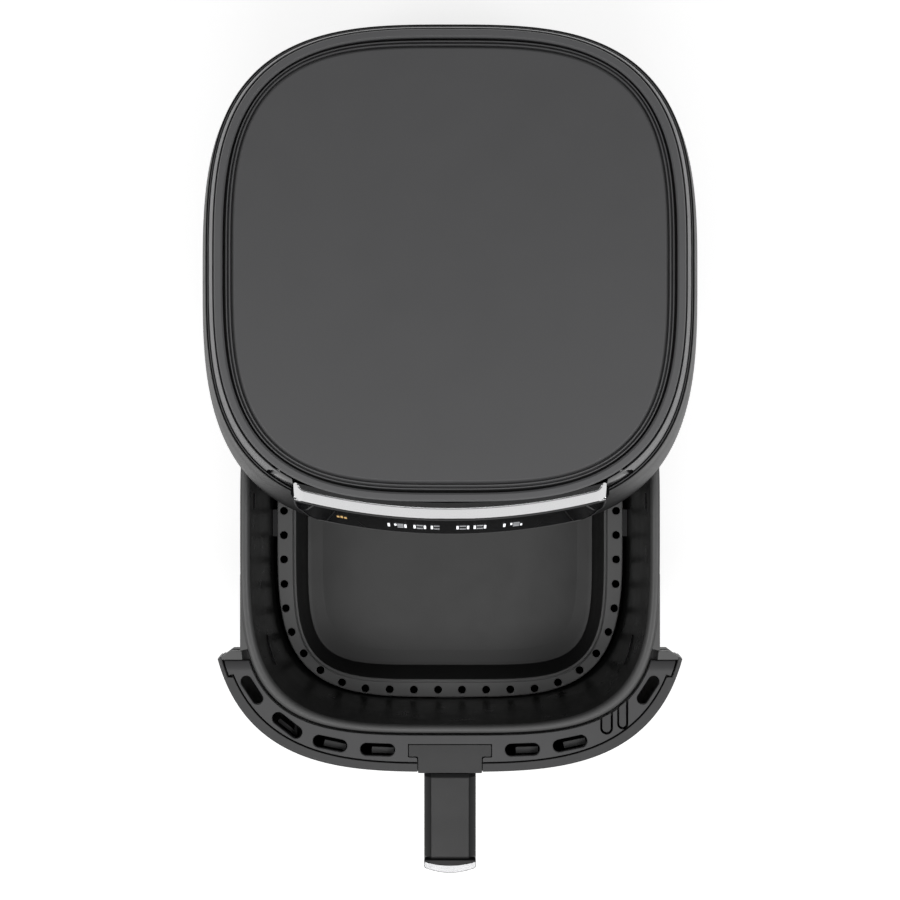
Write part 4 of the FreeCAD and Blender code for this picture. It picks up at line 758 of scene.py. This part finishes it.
# the floor closes both skins at the middle
count = 288
verts, faces = [], []
seq = [(a, b, n, z) for a, b, n, z in lw] + [(a, b, n, z) for a, b, n, z in lv]
for a, b, n, z in seq:
    verts += [(x, y, z) for x, y in squircle(a, b, n, count)]
for i in range(len(seq) - 1):
    p, q = i * count, (i + 1) * count
    for j in range(count):
        j2 = (j + 1) % count
        faces.append((p + j, p + j2, q + j2, q + j))
faces.append(tuple(range(count))[::-1])
faces.append(tuple(range((len(seq) - 1) * count, len(seq) * count)))
tray_me = to_mesh("tray", verts, faces, DY)
QUAD = [(112.2, 8.2), (112.2, 24.6), (111.9, 41.2), (111.0, 57.6), (107.1, 73.6), (98.9, 88.1), (87.6, 99.4), (73.0, 107.7), (57.2, 111.8), (40.8, 112.4), (24.4, 112.6), (8.1, 112.6)]


def punch(cx, cy, section, seg=28):
    v, f = [], []
    for r, z in section:
        v += [(cx + r * math.cos(2 * PI * k / seg), cy + r * math.sin(2 * PI * k / seg), z) for k in range(seg)]
    for i in range(len(section) - 1):
        for j in range(seg):
            j2 = (j + 1) % seg
            f.append((i * seg + j, i * seg + j2, (i + 1) * seg + j2, (i + 1) * seg + j))
    f.append(tuple(range(seg))[::-1])
    f.append(tuple(range((len(section) - 1) * seg, len(section) * seg)))
    return to_mesh("punch", v, f, DY)


hole_cut = [(2.55, 80.0), (2.55, 86.4), (2.65, 86.7), (2.85, 86.9), (3.3, 87.12), (3.3, 90.0)]
tray_me = carve(tray_me, merge([punch(sx * x, sy * y, hole_cut) for x, y in QUAD for sx in (-1, 1) for sy in (-1, 1)]))
# the recess's sloped wall and its floor take the darker copies, painted shade inside the recess
tray_mi = []
for p in tray_me.polygons:
    zc = p.center.z * 1000
    rx, ry = abs(p.center.x * 1000), abs(p.center.y * 1000 - DY)
    inside = ((rx / 104.3) ** 4.6 + (ry / 105.8) ** 4.6) < 1.0
    p.material_index = 1 if (inside and 66.75 < zc < 87.4) else (2 if inside and zc <= 66.75 else 0)
add("crisper_plate_tray", tray_me, ["plate", "plate_wall_painted_shade", "plate_floor_painted_shade"], "crisper_plate", sharp=30)

# ------------------------------------------------------------------ drawer front
PN = 3.24


def front_arc(a, b, n, f_end, count=240):
    """Part of a squircle in front of y = -f_end, from left to right through the front."""
    pts = []
    for k in range(1200):
        t = -PI + PI * k / 1199.0
        r = sq_r(t, a, b, n)
        x, y = r * math.cos(t), r * math.sin(t)
        if -y >= f_end:
            pts.append((x, y))
    step = max(1, len(pts) // count)
    out = pts[::step]
    if out[-1] != pts[-1]:
        out.append(pts[-1])
    return out


def outline_with_jog(wide, narrow, f_jog, f_end):
    pts = []
    for x, y in front_arc(wide, wide, PN, f_end, 300):
        if -y > f_jog:
            k = narrow / wide
            pts.append((x * k, y * k))
        else:
            pts.append((x, y))
    return pts


plate_plan = outline_with_jog(147.6, 144.85, 91.4, 81.7) + front_arc(131.9, 128.0, 3.8, 81.7, 220)[::-1]
plate_me = slab("plate", plate_plan, 181.8, 185.0, DY, 0.4, seg=3)
bm = bmesh.new()
bm.from_mesh(plate_me)
for yc in (-82.6, -83.8, -85.0, -86.2, -87.3, -88.4):
    geom = bm.verts[:] + bm.edges[:] + bm.faces[:]
    bmesh.ops.bisect_plane(bm, geom=geom, plane_co=(0, (yc + DY) / 1000.0, 0), plane_no=(0, 1, 0))
for v in bm.verts:
    f = -(v.co.y * 1000 - DY)
    if f < 88.35 and v.co.z > 0.1835:
        t = max(0.0, min(1.0, (88.4 - f) / 6.7))
        v.co.z -= 0.0021 * t * t
bm.to_mesh(plate_me)
bm.free()
SLOTS = [(-123.1, 99.9, -57), (-101.2, 121.8, -38), (-74.6, 133.1, -12), (-45.0, 136.9, -2), (45.0, 136.9, 2), (74.6, 133.1, 12), (123.1, 99.9, 57)]


def stadium(x, f, deg, length, wide, seg=14):
    pts, r, l2 = [], wide / 2, length / 2 - wide / 2
    for k in range(seg + 1):
        a = -PI / 2 + PI * k / seg
        pts.append((l2 + r * math.cos(a), r * math.sin(a)))
    for k in range(seg + 1):
        a = PI / 2 + PI * k / seg
        pts.append((-l2 + r * math.cos(a), r * math.sin(a)))
    c, s = math.cos(math.radians(deg)), math.sin(math.radians(deg))
    return [(x + px * c - py * s, -f + px * s + py * c) for px, py in pts]


def flared(pts_of, zs, name="flare"):
    """Cutter whose plan grows near the top, leaving a softened rim."""
    rings = [pts_of(g) for g, z in zs]
    k = len(rings[0])
    v = [(x, y, z) for ring_, (g, z) in zip(rings, zs) for x, y in ring_]
    f = []
    for i in range(len(zs) - 1):
        for j in range(k):
            j2 = (j + 1) % k
            f.append((i * k + j, i * k + j2, (i + 1) * k + j2, (i + 1) * k + j))
    f.append(tuple(range(k))[::-1])
    f.append(tuple(range((len(zs) - 1) * k, len(zs) * k)))
    return to_mesh(name, v, f, DY)


FL = [(0.0, 175.0), (0.0, 184.3), (0.12, 184.7), (0.35, 184.9), (0.75, 185.06), (0.75, 188.0)]
slot_cut = merge([flared(lambda g, x=x, f=f, d=d: stadium(x, f, d, (19.6 if abs(x) > 120 else 21.6) + 2 * g, (7.0 if abs(x) > 120 else 7.6) + 2 * g), FL) for x, f, d in SLOTS])


def tab_plan(cx, f_low, half, back, g=0.0):
    pts = []
    r = half + g
    for k in range(13):
        a = PI + PI * k / 12
        pts.append((cx + r * math.cos(a), -(f_low - half) + r * math.sin(a)))
    return pts + [(cx + r, -(f_low - half) + back), (cx - r, -(f_low - half) + back)]


# (centre x, lowest front distance, half width) of the two open-ended recesses
TB = [(97.3, 127.6, 4.0), (107.3, 124.4, 3.5)]
tab_cut = merge([slab("tc", tab_plan(cx, fl, hw, 26.0 if i == 0 else 32.0), 178.0, 188.0, DY, 0.01) for i, (cx, fl, hw) in enumerate(TB)])
TG = 0.45
tee_hole = round_poly([(-25.7 - TG, -133.9 + TG), (-25.7 - TG, -141.4 - TG, 0.8), (-19.9 - TG, -141.4 - TG, 1.6), (-19.9 - TG, -170.0), (19.9 + TG, -170.0),
                       (19.9 + TG, -141.4 - TG, 1.6), (25.7 + TG, -141.4 - TG, 0.8), (25.7 + TG, -133.9 + TG)], 5)
tee_cut = slab("tee_cut", ccw(tee_hole), 180.0, 190.0, DY, 0.01)
plate_me = carve(plate_me, slot_cut, tab_cut, tee_cut)
add("drawer_top_plate", plate_me, "front", "front_top_plate", sharp=30)

ribs_in = []
for x, f, d in SLOTS:
    c, s = math.cos(math.radians(d)), math.sin(math.radians(d))

    def rot(px, py, x=x, f=f, c=c, s=s):
        return (x + px * c - py * s, -f + px * s + py * c)
    if abs(x) < 90:
        ribs_in.append(slab("r", ccw([rot(-4.0, -3.7), rot(10.2, -3.7), rot(10.2, 0.5), rot(-4.0, 0.5)]), 166.0, 176.5, DY, 0.3))
    elif abs(x) < 120:
        ribs_in.append(slab("r", ccw([rot(-6.0, -3.7), rot(9.0, -3.7), rot(9.0, -1.2), rot(-6.0, -1.2)]), 166.0, 174.0, DY, 0.3))
add("slot_ribs", merge(ribs_in), "rib", "front_inner_moulding", replaces=False)

tabs_ = []
for i, (cx, fl, hw) in enumerate(TB):
    plan = ccw(tab_plan(cx, fl - 1.3, hw - 1.3, 25.0 if i == 0 else 31.0))
    tabs_.append(slab("tab", plan, 180.4, 184.2, DY, 0.3))
tab_me = carve(merge(tabs_), loft("rimcut", [(131.9, 128.0, 3.8, 175.0), (131.9, 128.0, 3.8, 195.0)], DY, 256))
add("latch_tab_pair", tab_me, "tabs", "latch_tabs")

def end_cut():
    """Slanting wedge that squares off the lower part of the front's two ends."""
    line = [(-97.1, 4.0), (-79.4, 165.0), (0.0, 165.0), (0.0, 4.0)]
    v = [(x, y, z) for x in (-200.0, 200.0) for y, z in line]
    f = [(0, 1, 2, 3), (7, 6, 5, 4), (0, 4, 5, 1), (1, 5, 6, 2), (2, 6, 7, 3), (3, 7, 4, 0)]
    return to_mesh("wedge", v, f, DY)


# skin of the drawer front, with its band round the plate
skin_pts = [(145.8, 22.8), (146.1, 22.5, 0.4), (147.5, 40.0), (150.2, 80.0), (151.6, 120.0), (151.9, 155.0), (151.5, 172.0), (151.0, 182.4), (150.85, 185.0, 0.9), (148.9, 185.0),
            (148.6, 184.8, 0.2), (148.6, 178.0), (148.3, 177.4), (148.9, 155.0), (148.6, 120.0), (147.2, 80.0), (144.5, 40.0), (142.8, 22.8)]
skin_me = loft("skin", [(a, a, PN, z) for a, z in prof(skin_pts, 4, True)], DY, 288, True)
# inner strip that brings the band in to its full width beyond the jog
strip_plan = front_arc(149.2, 149.2, PN, 91.7, 260) + front_arc(145.65, 145.65, PN, 91.7, 260)[::-1]
strip_me = slab("band", strip_plan, 179.4, 184.98, DY, 0.3, seg=3)
keep = ccw([(-190.0, -80.7), (-144.5, -80.7), (-136.4, -75.2), (136.4, -75.2), (144.5, -80.7), (190.0, -80.7), (190.0, -200.0), (-190.0, -200.0)])
keep_me = slab("keep", keep, 5.0, 200.0, DY, 0.01)
skin_me = carve(skin_me, keep_me, op="INTERSECT")
skin_me = carve(skin_me, end_cut())
skin_me = carve(skin_me, slab("tee_cut2", ccw(tee_hole), 180.0, 190.0, DY, 0.01))
strip_me = carve(strip_me, slab("tee_cut3", ccw(tee_hole), 180.0, 190.0, DY, 0.01))
add("front_skin", skin_me, "front_skin", "front_shell", sharp=26)
inner_ob = frame["nodes"]["front_inner_moulding"]
inner_me = inner_ob.data.copy()
inner_me.transform(inner_ob.matrix_world)
inner_me = carve(inner_me, end_cut())
add("front_moulding_inside", inner_me, "dark", "front_inner_moulding", sharp=26)
add("front_band", strip_me, "front_skin", "front_shell", replaces=False)

# corner ledges beside the pot flange, in the rim's lighter grey: painted light on their tops
ledge = []
for sg in (-1, 1):
    pts = [(sg * 129.6, -75.7), (sg * 136.2, -75.5), (sg * 143.9, -80.4), (sg * 143.9, -81.15), (sg * 129.0, -81.15)]
    ledge.append(slab("ledge", ccw(round_poly([(p[0], p[1], 0.35) for p in pts], 3)), 179.8, 184.6, DY, 0.25))
    side_in = [(x, y) for x, y in squircle(130.2, 126.4, 3.8, 400) if x * sg > 0 and -75.7 < y < -28.0]
    side_in.sort(key=lambda p: p[1])
    ledge.append(slab("side", ccw([(sg * 130.5, -75.6)] + [(x - sg * 0.3, y) for x, y in side_in] + [(sg * 130.5, -28.0)]), 180.6, 184.4, DY, 0.02))
add("front_corner_ledges", merge(ledge), "rim", "front_inner_moulding", replaces=False)

# ------------------------------------------------------------------ handle
tee_plan = round_poly([(-25.7, -133.9, 0.7), (-25.7, -141.4, 0.8), (-19.9, -141.4, 1.2), (-19.9, -151.6, 0.7), (19.9, -151.6, 0.7), (19.9, -141.4, 1.2), (25.7, -141.4, 0.8), (25.7, -133.9, 0.7)], 3)
add("handle_tee", slab("tee", ccw(tee_plan), 180.8, 184.7, DY, 0.3), "tee", "handle_mount")

side = [(-151.9, 184.9, 0.8), (-151.9, 160.0, 1.0), (-176.0, 162.4, 6.0), (-185.0, 154.0, 8.0), (-185.0, 78.0, 3.0), (-188.0, 70.0, 3.5), (-204.2, 70.0, 2.0), (-205.2, 74.0, 2.0),
        (-205.2, 184.6, 1.2), (-203.4, 186.6, 1.4), (-154.0, 186.6, 1.4)]
side_pts = ccw(round_poly(side, 6))
hv, hf, hm = [], [], []
k = len(side_pts)
cols = [-16.1, -15.8, -14.9, -13.4, -12.2, -11.7, -11.2, -6.0, 0.0, 6.0, 11.2, 11.7, 12.2, 13.4, 14.9, 15.8, 16.1]
drop = [5.6, 4.9, 3.6, 1.9, 0.62, 0.22, 0.0, 0.0, 0.0, 0.0, 0.0, 0.22, 0.62, 1.9, 3.6, 4.9, 5.6]
for ci, x in enumerate(cols):
    for y, z in side_pts:
        zz = z
        if z > 176.0:
            zz = z - drop[ci] * min(1.0, (z - 176.0) / 8.0)
        g = max(0.0, abs(x) - 14.9) / 1.2
        gy = 0.9 * g * g
        yy = y
        if z < 158.0 or y > -180.0:
            if y > -186.0 and z < 150.0:
                yy = y - gy
            if z < 72.0:
                zz = z + gy
            if -184.0 < y and z <= 163.5:
                zz = z + gy
        hv.append((x, yy, zz))
for ci in range(len(cols) - 1):
    for j in range(k):
        j2 = (j + 1) % k
        hf.append((ci * k + j, ci * k + j2, (ci + 1) * k + j2, (ci + 1) * k + j))
        hm.append(0 if abs((cols[ci] + cols[ci + 1]) / 2) < 11.5 else 1)
hf.append(tuple(range(k)))
hm.append(1)
hf.append(tuple(range((len(cols) - 1) * k, len(cols) * k))[::-1])
hm.append(1)
# faces beyond |x| 11.5 (the side bevels) take the darker copy, painted shade on the grip's sides
add("handle_grip", to_mesh("handle", hv, hf, DY, hm), ["handle", "handle_side_painted_shade"], "handle_body", sharp=24)

# bright cap down the outside of the grip
def bow(x, end, mid):
    return mid - (mid - end) * (x / 16.1) ** 2


cap_n = 24
cap_pts = []
back_y = [(-16.1 + 32.2 * i / cap_n) for i in range(cap_n + 1)]
outer_line = [(x, -bow(x, 210.2, 213.5)) for x in back_y]
cap_plan = ccw([(-15.5, -210.5)] + outer_line[2:-2] + [(15.5, -210.5), (16.1, -209.6), (16.1, -205.7), (8.0, -205.7), (0.0, -205.7), (-8.0, -205.7), (-16.1, -205.7), (-16.1, -209.6)])
cap_me = slab("cap", cap_plan, 70.2, 185.2, DY, 0.5, 0.4, seg=3)
add("handle_bright_cap", cap_me, "cap", "handle_strip", sharp=30)
blk = ccw([(-16.0, -205.3), (-16.0, -206.4)] + [(x, -bow(x, 206.5, 208.9)) for x in back_y[2:-2:2]] + [(16.0, -206.4), (16.0, -205.3)])
add("handle_cap_gasket", slab("gasket", blk, 72.0, 186.2, DY, 0.4), "dark", "handle_strip", replaces=False)

# ------------------------------------------------------------------ camera, floor and light
cam_d = bpy.data.cameras.new("camera")
cam = bpy.data.objects.new("camera", cam_d)
bpy.context.scene.collection.objects.link(cam)
cam_d.sensor_width = 36.0
cam_d.lens = 72.84
cam.location = (0.0, (HY - 101.7) / 1000.0, 1.316)
cam.rotation_euler = (0.0, 0.0, 0.0)
cam_d.clip_start, cam_d.clip_end = 0.01, 50.0
bpy.context.scene.camera = cam

bm = bmesh.new()
bmesh.ops.create_grid(bm, x_segments=40, y_segments=40, size=6.0)
fm = bpy.data.meshes.new("floor")
bm.to_mesh(fm)
bm.free()
floor = bpy.data.objects.new("floor", fm)
bpy.context.scene.collection.objects.link(floor)
m_, nt_, b_ = new_mat("floor_paper")
b_.inputs["Base Color"].default_value = (0.9, 0.9, 0.9, 1)
b_.inputs["Roughness"].default_value = 0.9
b_.inputs["Emission Color"].default_value = (1, 1, 1, 1)
b_.inputs["Emission Strength"].default_value = 0.58
floor.data.materials.append(m_)

sc = bpy.context.scene
sc.view_settings.view_transform = "Standard"
sc.view_settings.look = "None"
sc.view_settings.exposure = 0.0
sc.view_settings.gamma = 1.0
w = bpy.data.worlds.new("studio")
sc.world = w
w.use_nodes = True
nt = w.node_tree
bg = nt.nodes["Background"]
tc = nt.nodes.new("ShaderNodeTexCoord")
sep = nt.nodes.new("ShaderNodeSeparateXYZ")
nt.links.new(tc.outputs["Generated"], sep.inputs[0])
cr = nt.nodes.new("ShaderNodeValToRGB")
cr.color_ramp.interpolation = "EASE"
els = cr.color_ramp.elements
for p, c in ((0.0, 0.90), (0.30, 0.72), (0.62, 0.85), (0.86, 0.95), (0.955, 0.16), (1.0, 0.13)):
    e = els.new(p) if p not in (0.0, 1.0) else els[0 if p == 0.0 else len(els) - 1]
    e.color = (c, c, c, 1)
nt.links.new(sep.outputs["Z"], cr.inputs["Fac"])
ramp_y = nt.nodes.new("ShaderNodeMapRange")
ramp_y.inputs["From Min"].default_value = -0.8
ramp_y.inputs["From Max"].default_value = 0.6
ramp_y.inputs["To Min"].default_value = 1.1
ramp_y.inputs["To Max"].default_value = 0.62
nt.links.new(sep.outputs["Y"], ramp_y.inputs["Value"])
mul = nt.nodes.new("ShaderNodeVectorMath")
mul.operation = "SCALE"
nt.links.new(cr.outputs["Color"], mul.inputs[0])
nt.links.new(ramp_y.outputs["Result"], mul.inputs["Scale"])
nt.links.new(mul.outputs["Vector"], bg.inputs["Color"])
bg.inputs["Strength"].default_value = 0.60


def area(name, loc, target, size, power, size_y=None):
    l = bpy.data.lights.new(name, "AREA")
    l.shape = "RECTANGLE"
    l.size = size
    l.size_y = size_y or size
    l.energy = power
    o = bpy.data.objects.new(name, l)
    sc.collection.objects.link(o)
    o.location = loc
    d = Vector(target) - Vector(loc)
    o.rotation_euler = d.to_track_quat("-Z", "Y").to_euler()
    return o


area("key_front", (0.0, -0.62, 1.55), (0.0, -0.05, 0.2), 0.5, 3.0, 0.25)
area("key_left", (-0.62, -0.24, 1.30), (0.0, -0.06, 0.2), 0.36, 3.4, 0.36)
area("key_right", (0.62, -0.24, 1.30), (0.0, -0.06, 0.2), 0.36, 3.4, 0.36)
